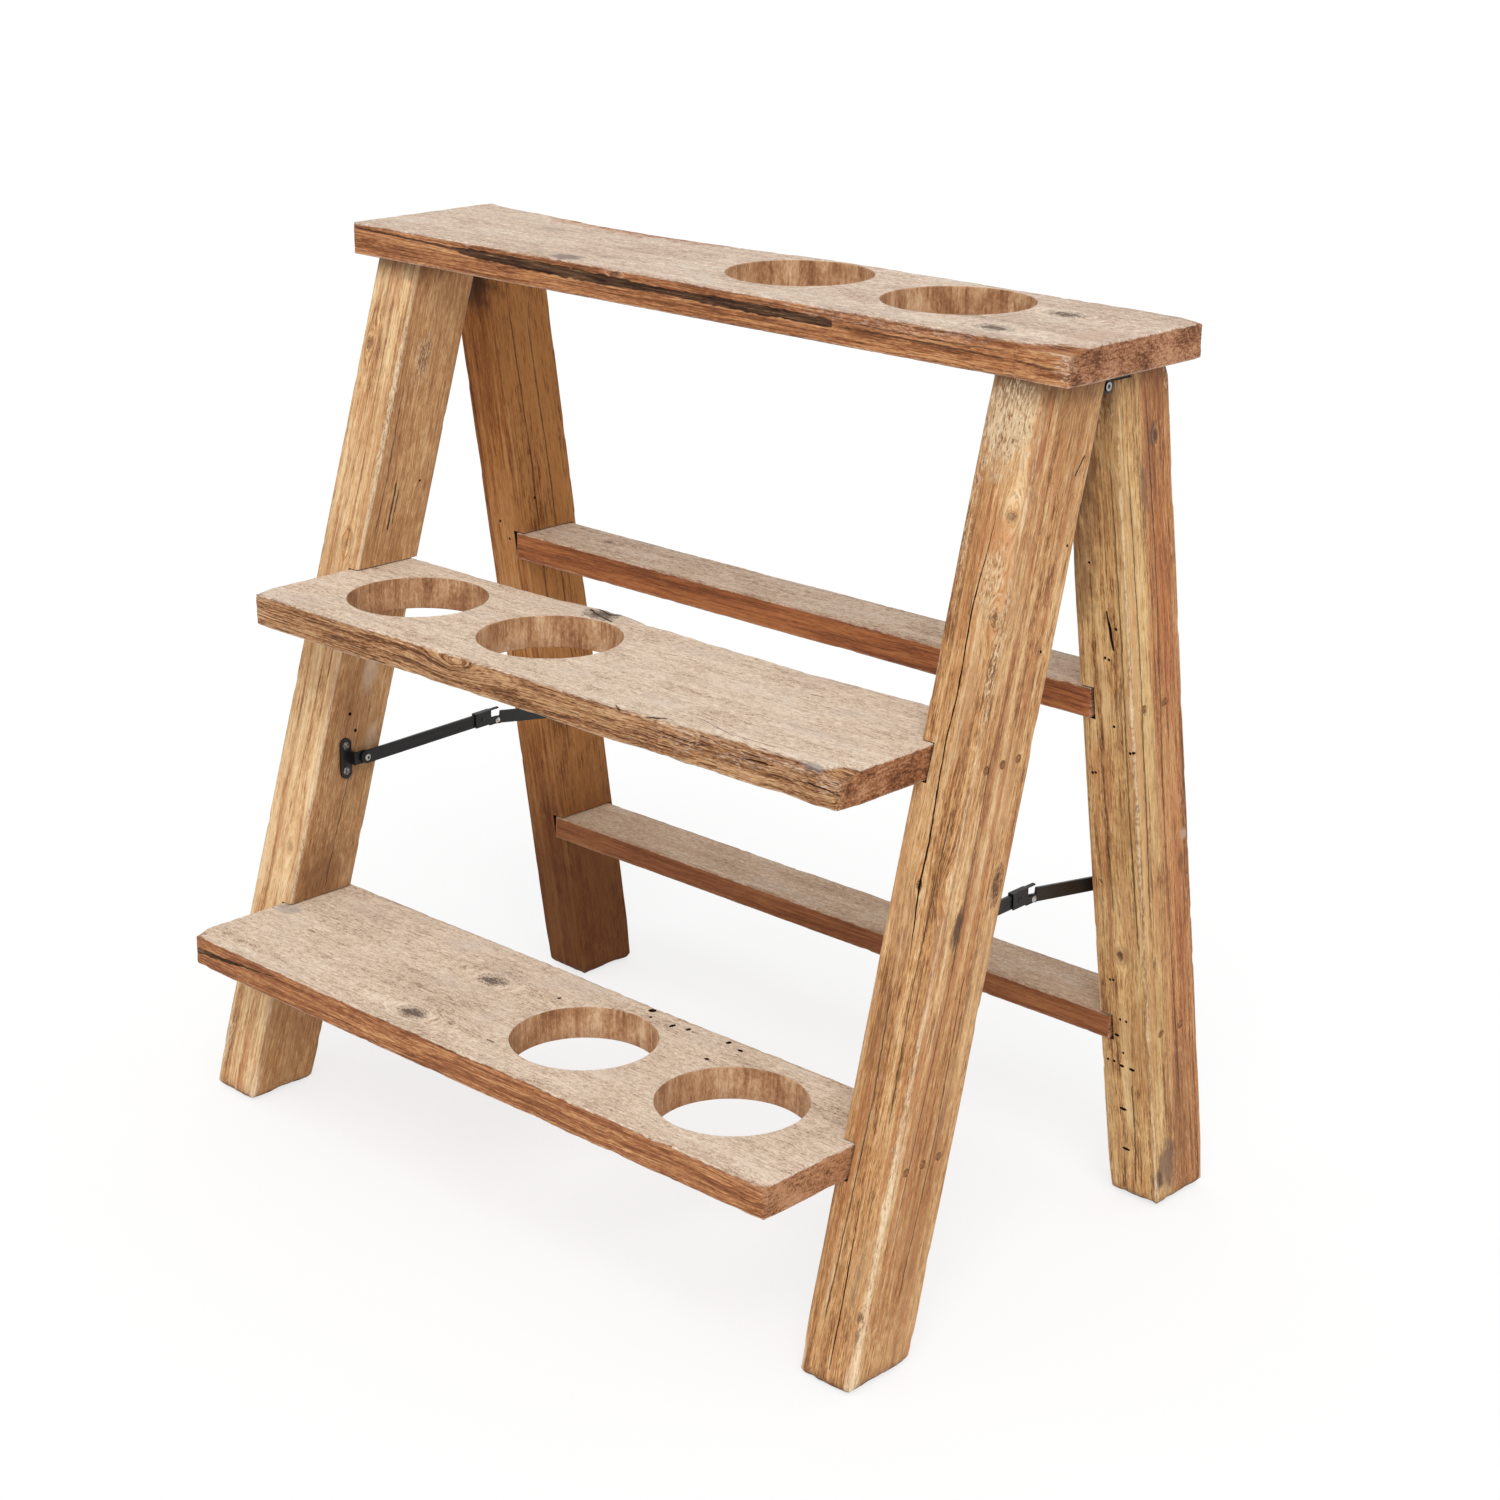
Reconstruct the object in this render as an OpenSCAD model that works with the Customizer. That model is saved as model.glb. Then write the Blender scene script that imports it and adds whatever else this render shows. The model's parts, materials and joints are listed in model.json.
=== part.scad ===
// Folding plant ladder stand: two step boards and a top board with pot holes
// on a front frame, a rear frame hinged under the top board, and a pair of
// steel folding stays. +Z is up, -Y is the side with the steps, and the floor
// outline is centred on the origin.

/* [Overall] */
// Height of the top board's upper face above the floor
stand_height = 680; // [600:5:760]
// Length of the top board, the widest piece
board_length = 700; // [640:5:800]
// Thickness of the top board and of both steps
board_thickness = 25; // [20:0.5:30]
// Depth of the top board
top_board_depth = 153; // [145:1:175]
// How far the top board reaches in front of the hinge line
top_board_front = 75; // [72:0.5:80]
// How far the top board passes the front stiles at each end
end_overhang = 21; // [10:0.5:30]

/* [Steps] */
// Height of the middle step's upper face
middle_step_height = 421; // [400:1:450]
// Depth of the middle step
middle_step_depth = 162; // [140:1:175]
// Height of the bottom step's upper face
bottom_step_height = 159; // [120:1:200]
// Depth of the bottom step
bottom_step_depth = 156; // [140:1:175]
// How far a step's upper back edge stands behind the stiles
step_back_proud = 4; // [0:0.5:4]
// Depth of the housings that hold the steps and rungs in the stiles
dado_depth = 10; // [6:0.5:15]

/* [Pot holes] */
// Diameter of each pot hole
pot_hole_diameter = 107; // [80:1:115]
// Distance between the two hole centres of a board
pot_hole_spacing = 146; // [130:1:160]
// Distance from the middle of the top board to the middle of its pair of holes
top_pair_x = 116; // [100:1:140]
// Distance from the middle of a step to the middle of its pair of holes
step_pair_x = 127; // [115:1:133]
// How far the top board's holes lie behind its centre line
top_hole_setback = 10.5; // [0:0.5:13]
// How far a step's holes lie behind its centre line
step_hole_setback = 2; // [0:0.5:8]

/* [Frames] */
// Backward lean of the front frame, in degrees
front_lean = 15.9; // [12:0.1:19]
// Forward lean of the rear frame, in degrees
rear_lean = 9.3; // [7:0.1:12]
// Outward splay of each front stile, in degrees
front_splay = 1.1; // [0:0.1:1.5]
// Outward splay of each rear stile, in degrees
rear_splay = 0.4; // [0:0.1:1]
// Width of a front stile, seen from the front
front_stile_width = 47; // [44:0.5:55]
// Width of a rear stile, seen from the front
rear_stile_width = 44.5; // [43:0.5:50]
// Depth of every stile, from its front face to its back face
stile_depth = 60; // [52:0.5:70]
// How far a rear stile's top lies inside the front stile's outer face
rear_stile_inset = 1.3; // [0:0.1:1.5]

/* [Rungs] */
// Height of the upper rung's upper face
upper_rung_height = 419; // [400:1:450]
// Thickness of the upper rung
upper_rung_thickness = 23; // [16:0.5:28]
// Depth of the upper rung
upper_rung_depth = 56; // [40:1:58]
// Height of the lower rung's upper face
lower_rung_height = 157; // [120:1:200]
// Thickness of the lower rung
lower_rung_thickness = 20; // [16:0.5:28]
// Depth of the lower rung
lower_rung_depth = 58; // [40:1:58]

/* [Hinges] */
// Distance from the hinge axis to the underside of the top board
hinge_drop = 12; // [9:0.5:16]
// Distance from the hinge axis to the stile face on each side
face_gap = 6.4; // [6:0.1:7]
// Length of each hinge along its pin
hinge_length = 42; // [36:0.5:42]
// Length of each hinge leaf away from the pin
leaf_height = 24; // [20:0.5:32]
// Thickness of each hinge leaf
leaf_thickness = 2; // [1.5:0.1:2.4]
// Outer radius of the hinge knuckles
knuckle_radius = 5; // [4.6:0.1:5.4]
// Radius of the hinge pin
hinge_pin_radius = 2.5; // [1.8:0.1:3]

/* [Stays] */
// Height of the front stay pivot above the floor
front_pivot_height = 269.5; // [255:0.5:285]
// Distance from the front stay pivot forward to, from the stile's back face
front_pivot_inset = 21; // [18:0.5:24]
// Horizontal distance from the front pivot to the knuckle pin
knuckle_reach = 139; // [130:0.5:148]
// Height of the knuckle pin relative to the front pivot
knuckle_rise = -1.5; // [-4:0.5:2]
// Height of the rear stay pivot above the floor
rear_pivot_height = 254; // [245:0.5:265]
// Distance from the rear stay pivot back from the stile's front face
rear_pivot_inset = 37.5; // [34:0.5:38.5]
// Width of the stay bars
bar_width = 10.5; // [9:0.5:12]
// Thickness of the stay bars
bar_thickness = 2.5; // [2:0.1:3]
// Height of the bracket plates
plate_height = 34; // [30:0.5:38]
// Width of the bracket plates
plate_width = 11; // [9:0.5:12]
// Thickness of the bracket plates and their ears
plate_thickness = 2; // [1.5:0.1:2.2]
// Radius of the pivot rivets' shanks
rivet_radius = 1.9; // [1.5:0.1:2.4]

/* [Fasteners] */
// Radius of the nails' shanks
nail_radius = 1.5; // [1:0.1:2]
// Length of the nails
nail_length = 62; // [52:1:72]
// Radius of the top board screws' shanks
board_screw_radius = 2.25; // [1.8:0.05:2.5]
// Length of the top board screws
board_screw_length = 60; // [50:1:70]
// Radius of the wooden plugs over the top board screws
plug_radius = 5; // [4.7:0.1:6]

/* [Hidden] */
$fn = 48;

// Clearances
running_gap = 0.05;    // radial, a pin that turns in its bore
fixed_gap = 0.03;      // radial, a nail, screw or rivet that doesn't turn
side_gap = 0.2;        // along the axis, between flat parts that turn on each other
rest_gap = 0.2;        // between the rear stiles' tops and the board that stops them

// Levels and half widths
underside_z = stand_height - board_thickness;
hinge_z = underside_z - hinge_drop;
front_top_x = board_length / 2 - end_overhang;
rear_top_x = front_top_x - rear_stile_inset;
stile_middle = face_gap + stile_depth / 2;

// A stile's face at height z. All y values are measured from the hinge line.
function front_back_y(z) = -face_gap / cos(front_lean) - (hinge_z - z) * tan(front_lean);
function rear_front_y(z) = face_gap / cos(rear_lean) + (hinge_z - z) * tan(rear_lean);

// Distance down a stile from the pivot of its splay to height z
function stile_run(z, lean) = hinge_drop - (z - hinge_z - stile_middle * sin(lean)) / cos(lean);
function front_outer_x(z) = front_top_x + stile_run(z, front_lean) * tan(front_splay);
function rear_outer_x(z) = rear_top_x + stile_run(z, rear_lean) * tan(rear_splay);
function front_inner_x(z) = front_outer_x(z) - front_stile_width / cos(front_splay);
function rear_inner_x(z) = rear_outer_x(z) - rear_stile_width / cos(rear_splay);

// The floor outline runs from the bottom step's front to the rear stiles' backs
bottom_step_back = front_back_y(bottom_step_height) + step_back_proud;
middle_step_back = front_back_y(middle_step_height) + step_back_proud;
front_reach = bottom_step_depth - bottom_step_back;
rear_reach = rear_front_y(0) + stile_depth / cos(rear_lean);
hinge_y = (front_reach - rear_reach) / 2;

// Stiles are cut from a longer bar
bar_run = stand_height * 1.15;
bar_spare = 60;

// Half lengths of the boards that sit in housings
middle_step_half = front_inner_x(middle_step_height - board_thickness / 2) + dado_depth;
bottom_step_half = front_inner_x(bottom_step_height - board_thickness / 2) + dado_depth;
upper_rung_half = rear_inner_x(upper_rung_height - upper_rung_thickness / 2) + dado_depth;
lower_rung_half = rear_inner_x(lower_rung_height - lower_rung_thickness / 2) + dado_depth;

// Nails
nail_head_radius = nail_radius + 1.2;
nail_head_height = 1;
nail_sink = 0.6;
step_nail_pitch = 17;
rung_nail_pitch = 24;

// Top board screws and plugs
board_screw_head_radius = board_screw_radius + 1.9;
board_screw_head_height = board_screw_head_radius - board_screw_radius;
board_screw_pitch = 26;
plug_height = 8;

// Hinges
hinge_x = front_top_x - front_stile_width / 2;
knuckle_count = 5;
knuckle_gap = 0.3;
knuckle_length = (hinge_length - (knuckle_count - 1) * knuckle_gap) / knuckle_count;
knuckle_step = knuckle_length + knuckle_gap;
notch_depth = knuckle_radius + 1;
front_neck = 3;
front_leaf_y = -face_gap;
rear_leaf_y = knuckle_radius - leaf_thickness;
pin_head_height = 0.8;
pin_head_radius = hinge_pin_radius + 0.8;
small_screw_radius = 1.6;
small_screw_length = 18;
small_head_radius = 3.3;
small_head_height = small_head_radius - small_screw_radius;
hinge_screw_pitch = hinge_length * 0.56;
hinge_screw_drop = (leaf_height + notch_depth) / 2;

// Stay pivots, as [y, z] from the hinge line and the floor
front_pivot = [front_back_y(front_pivot_height) - front_pivot_inset, front_pivot_height];
knuckle_pivot = front_pivot + [knuckle_reach, knuckle_rise];
rear_pivot = [rear_front_y(rear_pivot_height) + rear_pivot_inset, rear_pivot_height];

// Stay layers, as x positions on the right-hand side
seat_depth = 0.5;
ear_standoff = 2;
front_plate_x = front_inner_x(front_pivot_height) + seat_depth;
rear_plate_x = rear_inner_x(rear_pivot_height) + seat_depth;
ear_x = rear_inner_x(rear_pivot_height) - ear_standoff;
bar_x = ear_x - plate_thickness - side_gap - bar_thickness / 2;

// Knuckle: the pin lies under the middle of both bars
front_bar_drop = 4.4;
rear_bar_drop = 2.4;
front_bar_span = norm(knuckle_pivot - front_pivot);
rear_bar_span = norm(rear_pivot - knuckle_pivot);
front_pin_y = sqrt(pow(front_bar_span, 2) - pow(front_bar_drop, 2));
rear_pin_y = sqrt(pow(rear_bar_span, 2) - pow(rear_bar_drop, 2));
front_bar_angle = angle_of(knuckle_pivot - front_pivot) + asin(front_bar_drop / front_bar_span);
rear_bar_angle = angle_of(rear_pivot - knuckle_pivot) - asin(rear_bar_drop / rear_bar_span);
front_bar_end = front_pin_y - 10;
rear_bar_start = 4;
eye_radius = 3.2;
clip_gap = 0.1;
clip_thickness = 1.2;
clip_length = 17;
clip_end = front_pin_y - 7;
clip_arm_height = 5;
prong_end = front_pin_y + 2.5;
clip_rivet_y = clip_end - clip_length / 2 - 1;
clip_rivet_radius = 1.5;
pin_radius = 1.5;

// Brackets
ear_reach = 14;
web_thickness = 2;
ear_height = bar_width;
plate_screw_pitch = plate_height - plate_width - 2;
rivet_head_radius = rivet_radius + 1.6;
rivet_head_height = 1.5;
rivet_tail_height = 1.3;
small_rivet_head = 0.9;

function angle_of(v) = atan2(v.y, v.x);

// ---- Placing ----

// Moves what is measured from the hinge line onto the stand; side is 1 right, -1 left
module on_side(side) {
    mirror([side < 0 ? 1 : 0, 0, 0]) translate([0, hinge_y, 0]) children();
}

// Places children in the leaning frame of the front or rear stiles, at the hinge axis
module front_frame() {
    translate([0, 0, hinge_z]) rotate([-front_lean, 0, 0]) children();
}

module rear_frame() {
    translate([0, 0, hinge_z]) rotate([rear_lean, 0, 0]) children();
}

// A cylinder along +X from the given point
module rod_x(radius, length) {
    rotate([0, 90, 0]) cylinder(r = radius, h = length);
}

// A low domed head that faces -X, with its flat side at x = 0
module dome_head(radius, height) {
    sphere_radius = (pow(radius, 2) + pow(height, 2)) / (2 * height);
    rotate([0, -90, 0])
        rotate_extrude()
            intersection() {
                translate([0, height - sphere_radius]) circle(r = sphere_radius);
                square([radius, height]);
            }
}

// ---- Wood ----

// A board between two heights, centred on x, with its back edge at back_y
module board_blank(half_length, back_y, depth, top_z, thickness) {
    translate([-half_length, back_y - depth, top_z - thickness])
        cube([2 * half_length, depth, thickness]);
}

module middle_step_blank() {
    board_blank(middle_step_half, middle_step_back, middle_step_depth, middle_step_height, board_thickness);
}

module bottom_step_blank() {
    board_blank(bottom_step_half, bottom_step_back, bottom_step_depth, bottom_step_height, board_thickness);
}

module upper_rung_blank() {
    board_blank(upper_rung_half, rear_front_y(upper_rung_height) + upper_rung_depth, upper_rung_depth,
        upper_rung_height, upper_rung_thickness);
}

module lower_rung_blank() {
    board_blank(lower_rung_half, rear_front_y(lower_rung_height) + lower_rung_depth, lower_rung_depth,
        lower_rung_height, lower_rung_thickness);
}

// Two pot holes through a board, around pair_x
module pot_holes(pair_x, y, top_z) {
    for (step = [-0.5, 0.5])
        translate([pair_x + step * pot_hole_spacing, y, top_z - board_thickness - 1])
            cylinder(d = pot_hole_diameter, h = board_thickness + 2, $fn = 96);
}

module top_board() {
    back_y = top_board_depth - top_board_front;
    color("rosybrown") translate([0, hinge_y, 0]) difference() {
        board_blank(board_length / 2, back_y, top_board_depth, stand_height, board_thickness);
        pot_holes(top_pair_x, back_y - top_board_depth / 2 + top_hole_setback, stand_height);
        for (side = [-1, 1]) mirror([side < 0 ? 1 : 0, 0, 0]) {
            board_screw_set(fixed_gap);
            plug_set(fixed_gap);
        }
    }
}

module middle_step() {
    hole_y = middle_step_back - middle_step_depth / 2 + step_hole_setback;
    color("tan") translate([0, hinge_y, 0]) difference() {
        middle_step_blank();
        pot_holes(-step_pair_x, hole_y, middle_step_height);
        both_sides() middle_step_nail_set(fixed_gap);
    }
}

module bottom_step() {
    hole_y = bottom_step_back - bottom_step_depth / 2 + step_hole_setback;
    color("tan") translate([0, hinge_y, 0]) difference() {
        bottom_step_blank();
        pot_holes(step_pair_x, hole_y, bottom_step_height);
        both_sides() bottom_step_nail_set(fixed_gap);
    }
}

module upper_rung() {
    color("tan") translate([0, hinge_y, 0]) difference() {
        upper_rung_blank();
        both_sides() upper_rung_nail_set(fixed_gap);
    }
}

module lower_rung() {
    color("tan") translate([0, hinge_y, 0]) difference() {
        lower_rung_blank();
        both_sides() lower_rung_nail_set(fixed_gap);
    }
}

module both_sides() {
    children();
    mirror([1, 0, 0]) children();
}

// The slab of space between the floor and a level
module floor_to(level) {
    reach = stand_height * 2;
    translate([-reach, -reach, 0]) cube([2 * reach, 2 * reach, level]);
}

// A leaning, splayed bar cut off at the floor and at top_level
module stile_blank(top_x, splay, width, front_y) {
    translate([top_x, front_y, hinge_drop]) rotate([0, -splay, 0])
        translate([-width, 0, -bar_run]) cube([width, stile_depth, bar_run + bar_spare]);
}

module front_stile(side) {
    color("burlywood") on_side(side) difference() {
        intersection() {
            floor_to(underside_z);
            front_frame() stile_blank(front_top_x, front_splay, front_stile_width, -face_gap - stile_depth);
        }
        middle_step_blank();
        bottom_step_blank();
        middle_step_nail_set(fixed_gap);
        bottom_step_nail_set(fixed_gap);
        board_screw_set(fixed_gap);
        front_frame() hinge_screw_set(front_leaf_y, fixed_gap);
        front_bracket_plate(fixed_gap);
        plate_screw_set(front_pivot, front_plate_x, -1, fixed_gap);
    }
}

module rear_stile(side) {
    color("burlywood") on_side(side) difference() {
        intersection() {
            floor_to(underside_z - rest_gap);
            rear_frame() stile_blank(rear_top_x, rear_splay, rear_stile_width, face_gap);
        }
        upper_rung_blank();
        lower_rung_blank();
        upper_rung_nail_set(fixed_gap);
        lower_rung_nail_set(fixed_gap);
        rear_leaf_seat();
        on_rear_seat() hinge_screw_set(rear_leaf_y, fixed_gap);
        rear_bracket_plate(fixed_gap);
        plate_screw_set(rear_pivot, rear_plate_x, 1, fixed_gap);
    }
}

// ---- Nails, screws and plugs of the boards ----

// A nail driven along -X, its head sunk under the face at outer_x
module nail(outer_x, y, z, gap) {
    head_x = outer_x - nail_sink;
    translate([head_x - nail_length, y, z]) rod_x(nail_radius + gap, nail_length);
    translate([head_x - nail_head_height, y, z])
        rod_x(nail_head_radius + gap, nail_head_height + (gap > 0 ? nail_sink + 1 : 0));
}

// A row of nails through a right-hand stile into a board's end
module nail_row(count, pitch, outer_x, middle_y, z, gap) {
    for (i = [0 : count - 1])
        nail(outer_x, middle_y + (i - (count - 1) / 2) * pitch, z, gap);
}

module step_nail_set(top_z, gap) {
    z = top_z - board_thickness / 2;
    middle_y = front_back_y(z) - stile_depth / cos(front_lean) / 2;
    nail_row(3, step_nail_pitch, front_outer_x(z), middle_y, z, gap);
}

module rung_nail_set(top_z, thickness, depth, gap) {
    z = top_z - thickness / 2;
    nail_row(2, rung_nail_pitch, rear_outer_x(z), rear_front_y(top_z) + depth / 2, z, gap);
}

module middle_step_nail_set(gap = 0) {
    step_nail_set(middle_step_height, gap);
}

module bottom_step_nail_set(gap = 0) {
    step_nail_set(bottom_step_height, gap);
}

module upper_rung_nail_set(gap = 0) {
    rung_nail_set(upper_rung_height, upper_rung_thickness, upper_rung_depth, gap);
}

module lower_rung_nail_set(gap = 0) {
    rung_nail_set(lower_rung_height, lower_rung_thickness, lower_rung_depth, gap);
}

// Places children at the two screws that hold the top board on a front stile
module at_board_screws() {
    middle_y = front_back_y(underside_z) - stile_depth / cos(front_lean) / 2;
    for (step = [-0.5, 0.5])
        translate([front_top_x - front_stile_width / 2, middle_y + step * board_screw_pitch, 0]) children();
}

module board_screw_set(gap = 0) {
    head_top = stand_height - plug_height;
    at_board_screws() {
        translate([0, 0, head_top - board_screw_length])
            cylinder(r = board_screw_radius + gap, h = board_screw_length);
        translate([0, 0, head_top - board_screw_head_height])
            cylinder(r1 = board_screw_radius + gap, r2 = board_screw_head_radius + gap,
                h = board_screw_head_height);
    }
}

module plug_set(gap = 0) {
    at_board_screws() translate([0, 0, stand_height - plug_height])
        cylinder(r = plug_radius + gap, h = plug_height + (gap > 0 ? 1 : 0));
}

module top_board_screws() {
    color("silver") for (side = [-1, 1]) on_side(side) board_screw_set();
}

module top_board_plugs() {
    color("sienna") for (side = [-1, 1]) on_side(side) plug_set();
}

module middle_step_nails() {
    color("dimgray") for (side = [-1, 1]) on_side(side) middle_step_nail_set();
}

module bottom_step_nails() {
    color("dimgray") for (side = [-1, 1]) on_side(side) bottom_step_nail_set();
}

module upper_rung_nails() {
    color("dimgray") for (side = [-1, 1]) on_side(side) upper_rung_nail_set();
}

module lower_rung_nails() {
    color("dimgray") for (side = [-1, 1]) on_side(side) lower_rung_nail_set();
}

// ---- Hinges ----

// A countersunk screw along -Z, its flat head at z = 0
module flat_screw(gap = 0) {
    translate([0, 0, -small_screw_length])
        cylinder(r = small_screw_radius + gap, h = small_screw_length);
    translate([0, 0, -small_head_height])
        cylinder(r1 = small_screw_radius + gap, r2 = small_head_radius + gap, h = small_head_height);
}

// Turns a leaf that hangs below the pin so that it lies level behind it
module on_rear_seat() {
    translate([0, 0, hinge_z]) rotate([90, 0, 0]) children();
}

// The level seat for the rear leaf at the front of the rear stile's top
module rear_leaf_seat() {
    translate([hinge_x - hinge_length, 0, hinge_z + rear_leaf_y])
        cube([2 * hinge_length, leaf_height + fixed_gap, hinge_drop]);
}

// The two screws of a leaf whose back is at leaf_y
module hinge_screw_set(leaf_y, gap = 0) {
    for (step = [-0.5, 0.5])
        translate([hinge_x + step * hinge_screw_pitch, leaf_y + leaf_thickness, -hinge_screw_drop])
            rotate([-90, 0, 0]) flat_screw(gap);
}

// Start of knuckle number i along x
function knuckle_start(i) = hinge_x - hinge_length / 2 + i * knuckle_step;

// A leaf that hangs below the pin with its back at leaf_y, and the knuckles whose numbers are in own
module hinge_leaf(leaf_y, neck, own, other) {
    difference() {
        union() {
            translate([hinge_x - hinge_length / 2, leaf_y, -leaf_height])
                cube([hinge_length, leaf_thickness, leaf_height]);
            for (i = own) {
                translate([knuckle_start(i), 0, 0]) rod_x(knuckle_radius, knuckle_length);
                translate([knuckle_start(i), leaf_y, -neck]) cube([knuckle_length, neck, neck]);
            }
        }
        for (i = other)
            translate([knuckle_start(i) - knuckle_gap, -knuckle_radius * 2, -notch_depth])
                cube([knuckle_length + 2 * knuckle_gap, knuckle_radius * 4, notch_depth + 1]);
        translate([hinge_x - hinge_length, 0, 0])
            rod_x(hinge_pin_radius + running_gap, hinge_length * 2);
        hinge_screw_set(leaf_y, fixed_gap);
    }
}

module hinge_front_leaf(side) {
    color("#2b2a29") on_side(side) front_frame() hinge_leaf(front_leaf_y, front_neck, [0, 2, 4], [1, 3]);
}

module hinge_rear_leaf(side) {
    color("#2b2a29") on_side(side) on_rear_seat() hinge_leaf(rear_leaf_y, leaf_thickness, [1, 3], [0, 2, 4]);
}

module hinge_pin(side) {
    color("silver") on_side(side) translate([hinge_x - hinge_length / 2, 0, hinge_z]) {
        translate([-running_gap, 0, 0]) rod_x(hinge_pin_radius, hinge_length + 2 * running_gap);
        for (end = [-running_gap - pin_head_height, hinge_length + running_gap])
            translate([end, 0, 0]) rod_x(pin_head_radius, pin_head_height);
    }
}

module hinge_front_screws(side) {
    color("dimgray") on_side(side) front_frame() hinge_screw_set(front_leaf_y);
}

module hinge_rear_screws(side) {
    color("dimgray") on_side(side) on_rear_seat() hinge_screw_set(rear_leaf_y);
}

// ---- Folding stays ----

// Moves children to a stay pivot given as [y, z]
module at_pivot(pivot, x = 0) {
    translate([x, pivot.x, pivot.y]) children();
}

// The oblong plate of a bracket, toward dir from the pivot, its back at plate_x
module bracket_plate(pivot, plate_x, dir, gap = 0) {
    half = (plate_height - plate_width) / 2;
    at_pivot(pivot + [dir * ear_reach, 0], plate_x - plate_thickness) {
        translate([0, -plate_width / 2 - gap, -half])
            cube([plate_thickness + gap, plate_width + 2 * gap, 2 * half]);
        for (end = [-half, half])
            translate([0, 0, end]) rod_x(plate_width / 2 + gap, plate_thickness + gap);
    }
}

module front_bracket_plate(gap = 0) {
    bracket_plate(front_pivot, front_plate_x, -1, gap);
}

module rear_bracket_plate(gap = 0) {
    bracket_plate(rear_pivot, rear_plate_x, 1, gap);
}

// The two screws of a plate, driven along +X
module plate_screw_set(pivot, plate_x, dir, gap = 0) {
    for (step = [-0.5, 0.5])
        at_pivot(pivot + [dir * ear_reach, step * plate_screw_pitch], plate_x - plate_thickness)
            rotate([0, -90, 0]) flat_screw(gap);
}

// The ear that carries the pivot, and the web that joins it to the plate
module bracket_ear(pivot, plate_x, dir) {
    web_y = ear_reach - plate_width / 2 + web_thickness;
    ear_inner_x = ear_x - plate_thickness;
    at_pivot(pivot, ear_inner_x) {
        rod_x(ear_height / 2, plate_thickness);
        translate([0, dir > 0 ? 0 : -web_y, -ear_height / 2]) cube([plate_thickness, web_y, ear_height]);
        translate([0, dir > 0 ? web_y - web_thickness : -web_y, -ear_height / 2])
            cube([plate_x - ear_inner_x, web_thickness, ear_height]);
    }
}

module front_bracket(side) {
    color("#2b2a29") on_side(side) difference() {
        union() {
            front_bracket_plate();
            bracket_ear(front_pivot, front_plate_x, -1);
        }
        plate_screw_set(front_pivot, front_plate_x, -1, fixed_gap);
        at_pivot(front_pivot, ear_x - 2 * plate_thickness) rod_x(rivet_radius + fixed_gap, plate_thickness * 3);
    }
}

// The rear bracket's ear has the rivet's tail in it; the head is on the rear link
module rear_bracket(side) {
    color("#2b2a29") on_side(side) {
        difference() {
            union() {
                rear_bracket_plate();
                bracket_ear(rear_pivot, rear_plate_x, 1);
            }
            plate_screw_set(rear_pivot, rear_plate_x, 1, fixed_gap);
        }
        at_pivot(rear_pivot, ear_x) mirror([1, 0, 0]) dome_head(rivet_head_radius, rivet_tail_height);
    }
}

module front_bracket_screws(side) {
    color("silver") on_side(side) plate_screw_set(front_pivot, front_plate_x, -1);
}

module rear_bracket_screws(side) {
    color("silver") on_side(side) plate_screw_set(rear_pivot, rear_plate_x, 1);
}

// A rivet through the front ear and the front link, headed on both sides
module front_rivet(side) {
    inner_x = bar_x - bar_thickness / 2 - side_gap;
    color("silver") on_side(side) {
        at_pivot(front_pivot, inner_x) {
            rod_x(rivet_radius, ear_x - inner_x);
            dome_head(rivet_head_radius, rivet_head_height);
        }
        at_pivot(front_pivot, ear_x) mirror([1, 0, 0]) dome_head(rivet_head_radius, rivet_tail_height);
    }
}

// The head and shank of the rear pivot, which end at the link's outer face
module rear_rivet(side) {
    inner_x = bar_x - bar_thickness / 2;
    color("silver") on_side(side) at_pivot(rear_pivot, inner_x) {
        rod_x(rivet_radius, bar_thickness);
        dome_head(rivet_head_radius, rivet_head_height);
    }
}

// The frame of the front link: y along the bar from the front pivot, z across it
module on_front_bar() {
    at_pivot(front_pivot, bar_x) rotate([front_bar_angle, 0, 0]) children();
}

// The frame of the rear link: y along the bar from the knuckle pin, z across it
module on_rear_bar() {
    at_pivot(knuckle_pivot, bar_x) rotate([rear_bar_angle, 0, 0]) children();
}

module front_link(side) {
    color("#2b2a29") on_side(side) on_front_bar() translate([-bar_thickness / 2, 0, 0]) difference() {
        union() {
            rod_x(bar_width / 2, bar_thickness);
            translate([0, 0, -bar_width / 2]) cube([bar_thickness, front_bar_end, bar_width]);
        }
        translate([-1, 0, 0]) rod_x(rivet_radius + running_gap, bar_thickness + 2);
        translate([-1, clip_rivet_y, 0]) rod_x(clip_rivet_radius + fixed_gap, bar_thickness + 2);
    }
}

module rear_link(side) {
    color("#2b2a29") on_side(side) on_rear_bar() translate([-bar_thickness / 2, 0, 0]) difference() {
        union() {
            rod_x(eye_radius, bar_thickness);
            translate([0, 0, -eye_radius]) cube([bar_thickness, rear_bar_start + 1, eye_radius * 2]);
            translate([0, rear_bar_start, rear_bar_drop - bar_width / 2])
                cube([bar_thickness, rear_pin_y - rear_bar_start, bar_width]);
            translate([0, rear_pin_y, rear_bar_drop]) rod_x(bar_width / 2, bar_thickness);
        }
        translate([-1, 0, 0]) rod_x(pin_radius + running_gap, bar_thickness + 2);
        translate([-1, rear_pin_y, rear_bar_drop]) rod_x(rivet_radius + fixed_gap, bar_thickness + 2);
    }
}

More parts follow.
